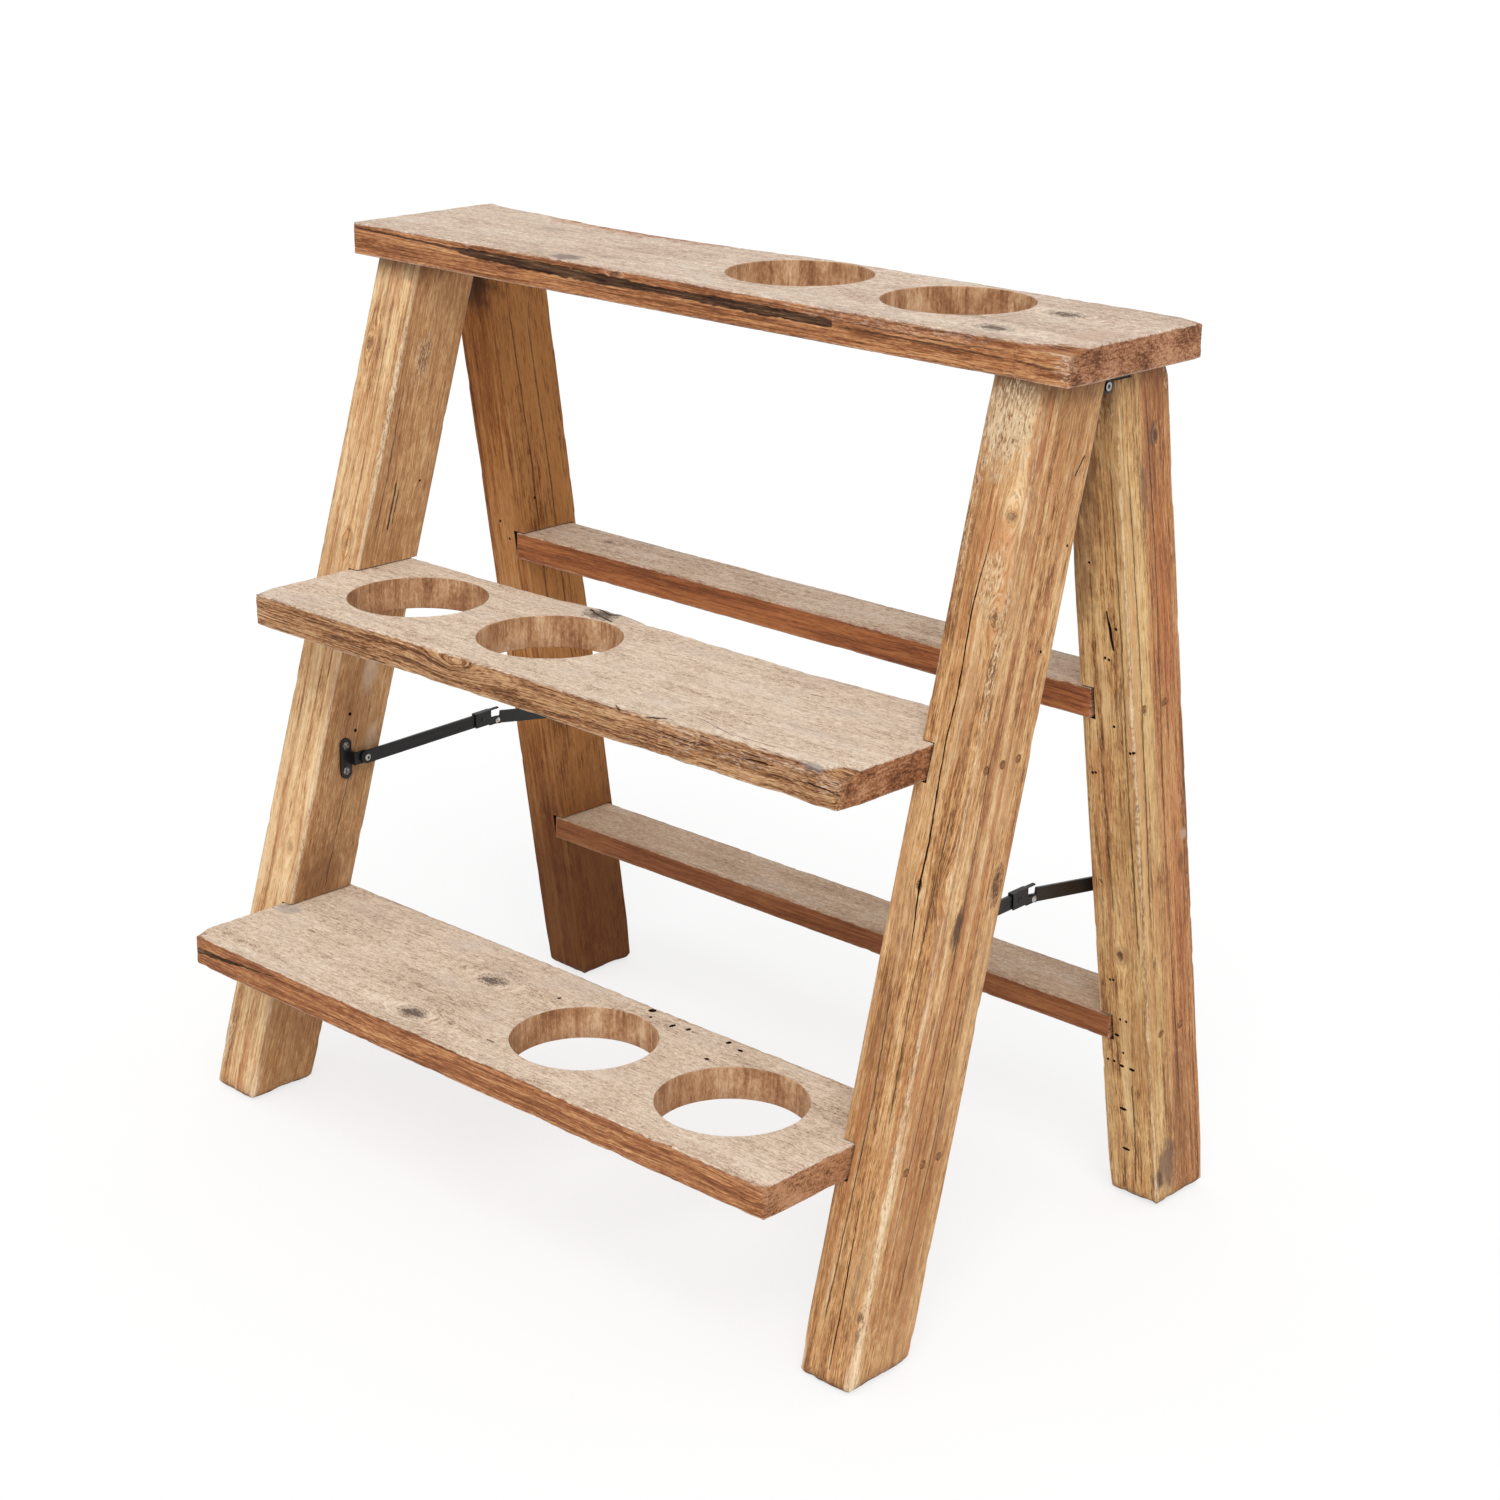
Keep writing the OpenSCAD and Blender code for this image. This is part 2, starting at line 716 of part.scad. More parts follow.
// One cheek of the clip: a box on the bar's end and an arm down to the pin
module clip_cheek() {
    cube_bottom = -bar_width / 2 - 0.6;
    translate([0, clip_end - clip_length, cube_bottom])
        cube([clip_thickness, clip_length, bar_width + 0.8]);
    translate([0, clip_end - 2, -front_bar_drop - clip_arm_height / 2])
        cube([clip_thickness, front_pin_y - clip_end + 2, clip_arm_height]);
    translate([0, front_pin_y, -front_bar_drop]) rod_x(clip_arm_height / 2, clip_thickness);
}

// A folded steel clip: two cheeks, and a web above them that runs on as a prong
module stay_clip(side) {
    inner = bar_thickness / 2 + clip_gap;
    web_z = bar_width / 2 + clip_gap;
    color("#2b2a29") on_side(side) on_front_bar() difference() {
        union() {
            translate([inner, 0, 0]) clip_cheek();
            translate([-inner - clip_thickness, 0, 0]) clip_cheek();
            translate([-inner - clip_thickness, clip_end - clip_length, web_z])
                cube([2 * (inner + clip_thickness), clip_length, clip_thickness]);
            translate([-inner, clip_end - 1, web_z]) cube([2 * inner, prong_end - clip_end + 1, clip_thickness]);
        }
        translate([-5, clip_rivet_y, 0]) rod_x(clip_rivet_radius + fixed_gap, 10);
        translate([-5, front_pin_y, -front_bar_drop]) rod_x(pin_radius + fixed_gap, 10);
    }
}

// A small rivet across the clip, at [y, z] in the front link's frame
module cross_rivet(y, z, radius) {
    half = bar_thickness / 2 + clip_gap + clip_thickness;
    translate([-half, y, z]) {
        rod_x(radius, 2 * half);
        dome_head(radius + 1.1, small_rivet_head);
        translate([2 * half, 0, 0]) mirror([1, 0, 0]) dome_head(radius + 1.1, small_rivet_head);
    }
}

module clip_rivet(side) {
    color("#2b2a29") on_side(side) on_front_bar() cross_rivet(clip_rivet_y, 0, clip_rivet_radius);
}

module knuckle_pin(side) {
    color("silver") on_side(side) on_front_bar() cross_rivet(front_pin_y, -front_bar_drop, pin_radius);
}

top_board();
middle_step();
bottom_step();
upper_rung();
lower_rung();
front_stile(-1);  // front_left_stile
front_stile(1);  // front_right_stile
rear_stile(-1);  // rear_left_stile
rear_stile(1);  // rear_right_stile
top_board_screws();
top_board_plugs();
middle_step_nails();
bottom_step_nails();
upper_rung_nails();
lower_rung_nails();
hinge_front_leaf(-1);  // left_hinge_front_leaf
hinge_rear_leaf(-1);  // left_hinge_rear_leaf
hinge_pin(-1);  // left_hinge_pin
hinge_front_screws(-1);  // left_hinge_front_screws
hinge_rear_screws(-1);  // left_hinge_rear_screws
hinge_front_leaf(1);  // right_hinge_front_leaf
hinge_rear_leaf(1);  // right_hinge_rear_leaf
hinge_pin(1);  // right_hinge_pin
hinge_front_screws(1);  // right_hinge_front_screws
hinge_rear_screws(1);  // right_hinge_rear_screws
front_bracket(-1);  // left_stay_front_bracket
front_bracket_screws(-1);  // left_stay_front_screws
front_rivet(-1);  // left_stay_front_rivet
front_link(-1);  // left_stay_front_link
stay_clip(-1);  // left_stay_clip
clip_rivet(-1);  // left_stay_clip_rivet
knuckle_pin(-1);  // left_stay_knuckle_pin
rear_link(-1);  // left_stay_rear_link
rear_rivet(-1);  // left_stay_rear_rivet
rear_bracket(-1);  // left_stay_rear_bracket
rear_bracket_screws(-1);  // left_stay_rear_screws
front_bracket(1);  // right_stay_front_bracket
front_bracket_screws(1);  // right_stay_front_screws
front_rivet(1);  // right_stay_front_rivet
front_link(1);  // right_stay_front_link
stay_clip(1);  // right_stay_clip
clip_rivet(1);  // right_stay_clip_rivet
knuckle_pin(1);  // right_stay_knuckle_pin
rear_link(1);  // right_stay_rear_link
rear_rivet(1);  // right_stay_rear_rivet
rear_bracket(1);  // right_stay_rear_bracket
rear_bracket_screws(1);  // right_stay_rear_screws
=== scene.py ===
"""Plant ladder stand: the looks of the timber, steel and stage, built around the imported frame.

Lengths are in millimetres where a comment or a docstring doesn't say metres. A colour of three numbers is as
read off a screen, from 0 to 255.
"""

import itertools
import json
import math

import bmesh
import bpy
import numpy as np
from mathutils import Matrix, Vector

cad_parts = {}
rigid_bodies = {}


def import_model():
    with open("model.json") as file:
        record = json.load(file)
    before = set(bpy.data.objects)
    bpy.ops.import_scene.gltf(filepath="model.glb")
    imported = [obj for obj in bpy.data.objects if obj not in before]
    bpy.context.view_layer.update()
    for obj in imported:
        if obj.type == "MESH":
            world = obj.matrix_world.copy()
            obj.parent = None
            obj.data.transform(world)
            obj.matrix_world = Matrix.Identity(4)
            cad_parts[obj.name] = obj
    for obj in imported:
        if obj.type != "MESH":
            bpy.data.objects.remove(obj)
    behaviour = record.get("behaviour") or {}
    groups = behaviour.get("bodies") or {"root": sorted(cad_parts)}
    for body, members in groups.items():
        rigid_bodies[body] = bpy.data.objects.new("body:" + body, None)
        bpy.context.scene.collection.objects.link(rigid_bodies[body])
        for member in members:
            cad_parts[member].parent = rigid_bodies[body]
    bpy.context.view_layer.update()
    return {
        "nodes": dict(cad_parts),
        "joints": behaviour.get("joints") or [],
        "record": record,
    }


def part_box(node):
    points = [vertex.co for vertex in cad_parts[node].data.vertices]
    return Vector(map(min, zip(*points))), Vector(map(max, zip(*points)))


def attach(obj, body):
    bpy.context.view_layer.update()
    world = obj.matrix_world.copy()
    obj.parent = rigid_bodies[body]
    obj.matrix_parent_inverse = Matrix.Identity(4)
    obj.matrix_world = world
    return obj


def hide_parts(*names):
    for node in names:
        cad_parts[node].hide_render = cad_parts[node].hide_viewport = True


bl_info = {
    "name": "Plant ladder stand",
    "version": (1, 0, 0),
    "blender": (4, 5, 0),
    "location": "View3D > Sidebar > Stand",
    "description": "Builds the worn timber, the steel stays and the stage of a plant ladder stand",
    "category": "Add Mesh",
}

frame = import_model()

MM = 0.001
HINGE = Vector(next(joint["pos_m"] for joint in frame["joints"] if joint["name"] == "rear_frame_fold"))
WORLD = Matrix.Identity(4)

# The stiles as the frame has them, in millimetres and degrees
STILE_DEPTH = 60.0
HINGE_DROP = 12.0
LEAF_THICKNESS = 2.0
FACE_GAP = 6.4
FRONT = {
    "frame": "front", "lean": -15.9, "splay": 1.1, "width": 47.0, "top_x": 329.0,
    "front_y": -FACE_GAP - STILE_DEPTH, "carries": ("middle_step", "bottom_step")}
REAR = {
    "frame": "rear", "lean": 9.3, "splay": 0.4, "width": 44.5, "top_x": 327.7,
    "front_y": FACE_GAP, "carries": ("upper_rung", "lower_rung")}
SIDES = {-1: "left", 1: "right"}

# The numbers of a wooden piece's materials
SKIN, BORED, SPLIT = range(3)

# How a piece is blocked out and divided, and how far its cutters reach past it
BOARD_BEVEL = 1.6
STILE_BEVEL = 1.8
STILE_LOW = -760
STILE_HIGH = 60
EDGE_REACH = 34.0
HOLE_SIDES = 160
PIT_SIDES = 10
SHORTEST_CELL = 1.9
PUSH_LEVELS = 4000
CUTTER_REACH = 0.004  # metres
HOUSING_SLACK = 0.0006  # metres, above and below a board in its housing
MERGE_REACH = 0.00001  # metres, between points that are one
PLUG_SUNK = 0.0006  # metres, below the board's face
PLUG_EASE = 0.0004  # metres, of a plug's edge

# A cross headed screw, in metres: how deep its head is, how far its points lie from each other at most, each
# step of its dome as a rise and a share of its width, and the size of a slot
HEAD_DEPTH = 0.0012
HEAD_REACH = 0.009
DOME_STEPS = ((0.00045, 0.86), (0.0004, 0.72), (0.0002, 0.5))
SLOT_SIZE = (0.0034, 0.0009, 0.0022)
SLOT_SUNK = 0.001

# The stage: directions and places in metres, turns in degrees, shifts as shares of the sensor's width
FLOOR_SIZE = 60
FLOOR_GLOW = 0.72
LAMP_DIRECTION = (-0.45, 0.5, -0.74)
LAMP_ANGLE = 34
CAMERA_AZIMUTH = 42.8264
CAMERA_HEIGHT = 19.3747
CAMERA_ROLL = 0.7663
CAMERA_LENS = 70.202  # millimetres
CAMERA_SENSOR = 36.0  # millimetres
CAMERA_SHIFT = (0.0022, 0.01028)
CAMERA_PLACE = (1.43881, -1.48089, 1.04078)


# ======================================================================
# Shader maths
# ======================================================================

def tone(red, green, blue):
    """A colour as it is read off a screen, 0 to 255, as linear red, green, blue and alpha."""
    linear = []
    for part in (red, green, blue):
        share = part / 255
        linear.append(share / 12.92 if share <= 0.04045 else ((share + 0.055) / 1.055) ** 2.4)
    return (*linear, 1.0)


def paint(colour):
    """Turns a colour of three numbers into a linear one. A linear colour or a socket stays as it is."""
    return tone(*colour) if isinstance(colour, tuple) and len(colour) == 3 else colour


class Value:
    """A number that varies over a surface. Arithmetic on it adds Math nodes."""

    def __init__(self, finish, socket):
        self.finish, self.socket = finish, socket

    def math(self, operation, *terms, clamp=False):
        node = self.finish.node("ShaderNodeMath", {"operation": operation, "use_clamp": clamp}, list(terms))
        return Value(self.finish, node.outputs[0])

    def __add__(self, other):
        return self.math("ADD", self, other)

    __radd__ = __add__

    def __sub__(self, other):
        return self.math("SUBTRACT", self, other)

    def __rsub__(self, other):
        return self.math("SUBTRACT", other, self)

    def __mul__(self, other):
        return self.math("MULTIPLY", self, other)

    __rmul__ = __mul__

    def __truediv__(self, other):
        return self.math("DIVIDE", self, other)

    def __abs__(self):
        return self.math("ABSOLUTE", self)

    def highest(self, other):
        return self.math("MAXIMUM", self, other)

    def sine(self):
        return self.math("SINE", self)

    def root(self):
        return self.math("SQRT", self)

    def held(self):
        """The same number, kept between 0 and 1."""
        return self.math("ADD", self, 0.0, clamp=True)

    def between(self, low, high):
        """0 at low, 1 at high, and a smooth step between them."""
        node = self.finish.node(
            "ShaderNodeMapRange", {"interpolation_type": "SMOOTHSTEP"},
            {"Value": self, "From Min": low, "From Max": high})
        return Value(self.finish, node.outputs[0])


class Finish:
    """One material, or the world's, with the ways in which its nodes are added."""

    def __init__(self, name, owner=None):
        self.material = owner or bpy.data.materials.new(name)
        self.material.use_nodes = True
        self.tree = self.material.node_tree
        self.tree.nodes.clear()

    def node(self, kind, settings=None, sockets=None):
        """Adds a node: its settings first, then the values or links of its sockets."""
        node = self.tree.nodes.new(kind)
        for key, setting in (settings or {}).items():
            if key == "stops":
                ramp = node.color_ramp
                while len(ramp.elements) < len(setting):
                    ramp.elements.new(1.0)
                for element, (place, colour) in zip(ramp.elements, setting):
                    element.position, element.color = place, paint(colour)
            elif key == "curve":
                curve = node.mapping.curves[0]
                while len(curve.points) < len(setting):
                    curve.points.new(1.0, 1.0)
                for point, place in zip(curve.points, setting):
                    point.location, point.handle_type = place, "VECTOR"
                node.mapping.update()
            else:
                setattr(node, key, setting)
        for key, value in sockets.items() if isinstance(sockets, dict) else enumerate(sockets or []):
            socket = node.inputs[key]
            if isinstance(value, Value):
                value = value.socket
            if isinstance(value, bpy.types.NodeSocket):
                self.tree.links.new(value, socket)
            else:
                socket.default_value = value
        return node

    def mapped(self, vector, **sockets):
        """Places in another measure: scaled, turned and moved."""
        node = self.node("ShaderNodeMapping", {"vector_type": "POINT"}, {"Vector": vector, **sockets})
        return node.outputs[0]

    def place(self, matrix=WORLD):
        """Where a point lies in a piece's own frame: across, through and along the grain."""
        back = matrix.inverted()
        return self.mapped(
            self.node("ShaderNodeTexCoord").outputs["Object"], Scale=(1000.0,) * 3,
            Rotation=back.to_euler(), Location=back.translation * 1000.0)

    def seen(self):
        """1 where the camera looks, straight or in a reflection, and 0 where light only falls."""
        node = self.node("ShaderNodeLightPath")
        looks = [Value(self, node.outputs[f"Is {kind} Ray"]) for kind in ("Camera", "Glossy", "Transmission")]
        return looks[0].highest(looks[1]).highest(looks[2])

    def split(self, vector):
        node = self.node("ShaderNodeSeparateXYZ", sockets=[vector])
        return [Value(self, out) for out in node.outputs]

    def noise(self, vector, cell, detail=3.0, rough=0.55, shift=0.0):
        """Soft noise about 0.5, with cells of the given lengths along the three axes."""
        mapped = self.mapped(
            vector, Scale=tuple(1 / c for c in cell), Location=(shift, shift * 0.7, shift * 0.3))
        node = self.node(
            "ShaderNodeTexNoise", {"noise_dimensions": "3D"},
            {"Vector": mapped, "Scale": 1.0, "Detail": detail, "Roughness": rough})
        return Value(self, node.outputs["Fac"])

    def blend(self, *parts):
        """Adds up noises, each with its weight, about 0.5."""
        total = None
        for noise, weight in parts:
            term = (noise - 0.5) * weight
            total = term if total is None else total + term
        return total + 0.5

    def flow(self, vector, sway, knots, seed):
        """Bends the grain in long waves and round the knots."""
        across, through, along = self.split(vector)
        wave = self.noise(vector, (70, 70, 150), 2, 0.5, seed + 51) - 0.5
        moved = [across + wave * sway, through + wave * (sway * 0.6), along]
        for at, size, _ in knots:
            axis = 0 if size[0] > 2.0 and abs(at[1]) > abs(at[0]) * 0.2 and size[1] <= size[0] * 2 else 1
            part = (across, through)[axis]
            off = part - at[axis]
            run = (along - at[2]) / 2.4
            reach = (size[axis] * 1.5) ** 2
            moved[axis] = moved[axis] - off * reach / (off * off + run * run + reach * 0.4)
        joined = self.node("ShaderNodeCombineXYZ", None, moved)
        return joined.outputs[0]

    def ramp(self, value, stops):
        """Colours along a value: each stop is a place from 0 to 1 and its colour."""
        return self.node("ShaderNodeValToRGB", {"stops": stops}, [value]).outputs["Color"]

    def mix(self, factor, under, over):
        node = self.node(
            "ShaderNodeMix", {"data_type": "RGBA", "blend_type": "MIX", "clamp_factor": True},
            {0: factor, 6: paint(under), 7: paint(over)})
        return node.outputs[2]

    def curve(self, value, points):
        """A curve through points, each from 0 to 1 both ways."""
        node = self.node("ShaderNodeFloatCurve", {"curve": points}, {"Value": value})
        return Value(self, node.outputs[0])

    def attribute(self, name):
        node = self.node("ShaderNodeAttribute", {"attribute_name": name})
        return Value(self, node.outputs["Fac"])

    def away(self, vector, at, size):
        """How far a point lies from a spot, where 1 is the rim of an egg shape of the given half sizes."""
        mapped = self.mapped(
            vector, Scale=tuple(1 / s for s in size), Location=tuple(-a / s for a, s in zip(at, size)))
        node = self.node("ShaderNodeVectorMath", {"operation": "LENGTH"}, [mapped])
        return Value(self, node.outputs["Value"])

    def surface(self, colour, roughness, height, depth, strength, **constants):
        """The shader itself. Height is in shares of depth."""
        bump = self.node(
            "ShaderNodeBump", None, {"Height": height, "Distance": depth * MM, "Strength": strength})
        sockets = {"Base Color": colour, "Roughness": roughness, "Normal": bump.outputs[0]}
        sockets.update({key.replace("_", " "): value for key, value in constants.items()})
        shader = self.node("ShaderNodeBsdfPrincipled", None, sockets)
        self.node("ShaderNodeOutputMaterial", None, {"Surface": shader.outputs[0]})
        return self.material


# ======================================================================
# Woodwork: shaping by hand tools
# ======================================================================

def clear_selection():
    bpy.ops.object.select_all(action="DESELECT")


def alone(piece):
    """Selects one piece and nothing else."""
    if bpy.context.mode != "OBJECT":
        leave()
    for other in bpy.context.view_layer.objects:
        other.select_set(False)
    piece.select_set(True)
    bpy.context.view_layer.objects.active = piece


def choose(piece, kind, test):
    """Goes into edit mode and selects the faces, edges or points that pass a test."""
    alone(piece)
    bpy.ops.object.mode_set(mode="EDIT")
    bpy.ops.mesh.select_mode(type={"faces": "FACE", "edges": "EDGE", "verts": "VERT"}[kind])
    bpy.ops.mesh.select_all(action="DESELECT")
    bm = bmesh.from_edit_mesh(piece.data)
    for item in getattr(bm, kind):
        if test(item):
            item.select_set(True)
    bmesh.update_edit_mesh(piece.data)


def leave():
    """Goes back to object mode."""
    bpy.ops.object.mode_set(mode="OBJECT")


def settle(piece):
    """Puts the piece's place, turn and size into its mesh."""
    alone(piece)
    bpy.ops.object.transform_apply(location=True, rotation=True, scale=True)


def block(name, place, low, high):
    """A cube primitive between two corners of a piece's own frame, set in its place."""
    low, high = Vector(low), Vector(high)
    clear_selection()
    bpy.ops.mesh.primitive_cube_add(size=1)
    piece = bpy.context.active_object
    piece.name = piece.data.name = name
    piece.scale = (high - low) * MM
    piece.location = (low + high) / 2 * MM
    settle(piece)
    piece.matrix_world = place
    settle(piece)
    return piece


def clad(piece, materials):
    """Gives a piece its list of materials."""
    piece.data.materials.clear()
    for material in materials:
        piece.data.materials.append(material)


def saw(piece, height, up):
    """Cuts off what lies above a height in metres, or below it where up is -1, and closes the cut."""
    choose(piece, "faces", lambda face: True)
    bpy.ops.mesh.bisect(
        plane_co=(0, 0, height), plane_no=(0, 0, up), use_fill=True, clear_outer=True, clear_inner=False)
    leave()


def ease_edges(piece, width, segments=3):
    """Bevels every edge of a plain block, which leaves all its faces four sided."""
    choose(piece, "edges", lambda edge: True)
    bpy.ops.mesh.bevel(offset=width * MM, segments=segments, profile=0.5, affect="EDGES")
    leave()


def divide(piece, place, axis, cuts, shortest=5.0):
    """Cuts the edges that run along one of the piece's own axes."""
    turn = place.to_3x3().inverted()

    def runs_along(edge):
        run = turn @ (edge.verts[1].co - edge.verts[0].co)
        return run.length > shortest * MM and abs(run[axis]) >= 0.8 * run.length

    choose(piece, "edges", runs_along)
    bpy.ops.mesh.subdivide(number_cuts=cuts)
    leave()


def grid(piece, place, across, through, *along):
    """Divides a block's faces into small cells. The cuts along the grain are made in several rounds."""
    divide(piece, place, 0, across)
    divide(piece, place, 1, through)
    for cuts in along:
        divide(piece, place, 2, cuts, SHORTEST_CELL)


def places(piece, place):
    """Every point of a piece in its own frame."""
    co = np.empty(len(piece.data.vertices) * 3, np.float32)
    piece.data.vertices.foreach_get("co", co)
    back = np.array(place.inverted())
    return (co.reshape(-1, 3).astype(float) @ back[:3, :3].T + back[:3, 3]) * 1000.0


def push(piece, amounts, direction, sign):
    """Moves points along one direction, each by its own amount in metres, by a weighted Displace modifier."""
    most = float(amounts.max())
    if most < 1e-6:
        return
    alone(piece)
    group = piece.vertex_groups.new(name="push")
    levels = np.round(amounts / most * PUSH_LEVELS).astype(int)
    order = np.argsort(levels, kind="stable")
    values, starts = np.unique(levels[order], return_index=True)
    for value, indices in zip(values, np.split(order, starts[1:])):
        if value > 0:
            group.add(indices.tolist(), value / PUSH_LEVELS, "REPLACE")
    modifier = piece.modifiers.new("push", "DISPLACE")
    modifier.direction, modifier.mid_level = direction, 0.0
    modifier.strength, modifier.vertex_group = sign * most, group.name
    bpy.ops.object.modifier_apply(modifier=modifier.name)
    piece.vertex_groups.remove(piece.vertex_groups["push"])


def shift(piece, place, steps):
    """Moves each point by its own step in the piece's own frame."""
    world = steps * MM @ np.array(place.to_3x3()).T
    for axis, direction in enumerate("XYZ"):
        for sign in (1, -1):
            push(piece, np.clip(sign * world[:, axis], 0, None), direction, sign)


def press(piece, depths):
    """Presses points into the surface, each by its own depth."""
    push(piece, np.clip(depths, 0, None) * MM, "NORMAL", -1)


def cut(piece, cutter, solver="MANIFOLD"):
    """Takes the cutter's shape out of a piece. The new faces keep the cutter's material number."""
    alone(piece)
    before = len(piece.data.vertices)
    modifier = piece.modifiers.new("cut", "BOOLEAN")
    modifier.operation, modifier.solver, modifier.object = "DIFFERENCE", solver, cutter
    modifier.material_mode = "INDEX"
    bpy.ops.object.modifier_apply(modifier=modifier.name)
    if len(piece.data.vertices) in (0, before):
        raise RuntimeError(f"{cutter.name} cut nothing from {piece.name}, or all of it")
    mesh = cutter.data
    bpy.data.objects.remove(cutter)
    bpy.data.meshes.remove(mesh)


def cut_with(piece, cutter, number):
    """Cuts with a cutter whose faces all get one of the piece's own materials, by its number."""
    clad(cutter, piece.data.materials)
    cutter.data.polygons.foreach_set("material_index", [number] * len(cutter.data.polygons))
    cut(piece, cutter)


def lattice(points, seed):
    """Smooth random values from -1 to 1 at points measured in cells, the same in every run."""
    points = np.atleast_2d(points.T).T.astype(float)
    base = np.floor(points).astype(np.int64)
    t = points - base
    t = t * t * (3 - 2 * t)
    primes = np.array([374761393, 668265263, 2147483647], np.int64)[: points.shape[1]]
    total = np.zeros(len(points))
    for corner in itertools.product((0, 1), repeat=points.shape[1]):
        h = ((base + corner) * primes).sum(1) + seed * 1274126177
        h = (h ^ (h >> 13)) * 1103515245 & 0xFFFFFFFF
        h = (h ^ (h >> 16)) * 73244475 & 0xFFFFFFFF
        h = h ^ (h >> 15)
        total += np.where(corner, t, 1 - t).prod(1) * ((h & 0xFFFFF) / 0x7FFFF - 1)
    return total


def rough(points, seed, octaves=3):
    """Layers of lattice noise, each finer and weaker than the one before."""
    layers = (lattice(np.atleast_2d(points.T).T * 2.0**k, seed + 17 * k) / 1.8**k for k in range(octaves))
    return sum(layers) / 1.8


def waves(at, across, along, seed):
    """The brushed grain's waves, from 0 to 1, with cells of the given lengths across and along the grain."""
    cells = np.c_[at[:, 0] / across, at[:, 1] / across, at[:, 2] / along]
    return 0.5 + 0.5 * rough(cells, seed, 3)


def fade(t):
    """A smooth step from 0 to 1."""
    t = np.clip(t, 0, 1)
    return t * t * (3 - 2 * t)


def chips(along, seed, spacing, deepest):
    """Extra arris radius where small chips are out, at random along the arris."""
    return deepest * fade((lattice(along / spacing, seed) - 0.55) / 0.35)


def follow(at, points):
    """Reads a line through (place, amount) points at many places."""
    points = np.array(sorted(points), float)
    return np.interp(at, points[:, 0], points[:, 1])


def dents(at, spots):
    """Depth at each point from a list of soft hollows: centre, half sizes and depth."""
    depth = np.zeros(len(at))
    for centre, size, deep in spots:
        d = (((at - np.array(centre)) / np.array(size)) ** 2).sum(1)
        depth += deep * np.clip(1 - d, 0, 1) ** 1.5
    return depth


def round_off(new, across, through, su, sv, half, radius):
    """Rounds one long arris, which lies where two faces meet, to a radius that varies along it."""
    a = half[0] - su * new[:, across]
    b = half[1] - sv * new[:, through]
    da, db = radius - a, radius - b
    d = np.hypot(da, db)
    out = (da > 0) & (db > 0) & (d > radius)
    scale = np.where(out, radius / np.maximum(d, 1e-9), 1.0)
    new[out, across] = (su * (half[0] - radius + da * scale))[out]
    new[out, through] = (sv * (half[1] - radius + db * scale))[out]


def store(piece, name, values):
    """Keeps one number for each point, which a material can read."""
    attribute = piece.data.attributes.new(name, "FLOAT", "POINT")
    attribute.data.foreach_set("value", values.astype(np.float32))


def crack(piece, place, face, path, width, depth, number, seed, jag=0.35, closes=0.35):
    """Opens a split along the grain. face is (axis, side, half size). path is points along and across the
    grain. width is points along the grain and the split's width there. closes is its share at the bottom."""
    axis, side, half = face
    other = 1 - axis
    start, end = path[0][0], path[-1][0]
    low, high = [0.0] * 3, [0.0] * 3
    low[2], high[2] = min(start, end), max(start, end)
    low[other], high[other] = -1.0, 1.0
    low[axis], high[axis] = sorted((side * (half - depth), side * (half + 1.5)))
    cutter = block("splitter", place, low, high)
    divide(cutter, place, 2, max(4, int(abs(end - start) / 3.5)), 1.0)
    at = places(cutter, place)
    line = follow(at[:, 2], path) + jag * rough(at[:, 2] / 5.0, seed)
    open_to = follow(at[:, 2], width) / 2
    open_to *= 1 + 0.35 * rough(at[:, 2] / 4.0, seed + 5)
    deep = side * at[:, axis] < half
    reach = np.maximum(open_to, 0.05) * np.where(deep, closes, 1.0)
    steps = np.zeros_like(at)
    steps[:, other] = line + np.sign(at[:, other]) * reach - at[:, other]
    steps[:, axis] = np.where(deep, side * 0.6 * depth * (1 - fade(open_to / open_to.max())), 0.0)
    shift(cutter, place, steps)
    cut_with(piece, cutter, number)


def pits(piece, place, face, spots, number=SPLIT, depth=2.5):
    """Bores small worm or nail holes. Each spot is (along, across, radius), and how many times as long it is
    in X and in Y where it isn't round."""
    axis, side, half = face
    towards = Vector((1, 0, 0)) if axis == 0 else Vector((0, 1, 0))
    turn = (place.to_3x3() @ towards).to_track_quat("Z", "Y").to_euler()
    made = []
    for along, across, radius, *longer in spots:
        centre = [0.0, 0.0, along]
        centre[axis], centre[1 - axis] = side * half, across
        clear_selection()
        bpy.ops.mesh.primitive_cylinder_add(
            vertices=PIT_SIDES, radius=radius * MM, depth=2 * depth * MM,
            location=place @ (Vector(centre) * MM), rotation=turn)
        if longer:
            bpy.ops.transform.resize(value=(*longer, 1))
        made.append(bpy.context.active_object)
    alone(made[0])
    for tool in made:
        tool.select_set(True)
    if len(made) > 1:
        bpy.ops.object.join()
    settle(made[0])
    cut_with(piece, made[0], number)


def from_node(name, node, material):
    """A new piece that starts as a merged copy of a CAD node's mesh."""
    piece = bpy.data.objects.new(name, frame["nodes"][node].data.copy())
    bpy.context.scene.collection.objects.link(piece)
    choose(piece, "verts", lambda vert: True)
    bpy.ops.mesh.remove_doubles(threshold=MERGE_REACH)
    bpy.ops.mesh.tris_convert_to_quads(face_threshold=0.02, shape_threshold=0.6)
    bpy.ops.mesh.dissolve_limited(angle_limit=0.002)
    leave()
    clad(piece, [material])
    return piece


def clusters(points, reach):
    """Sorts points into groups that each lie within reach of the group's first point."""
    groups = []
    for point in points:
        for group in groups:
            if np.linalg.norm(group[0] - point) < reach:
                group.append(point)
                break
        else:
            groups.append([point])
    return groups


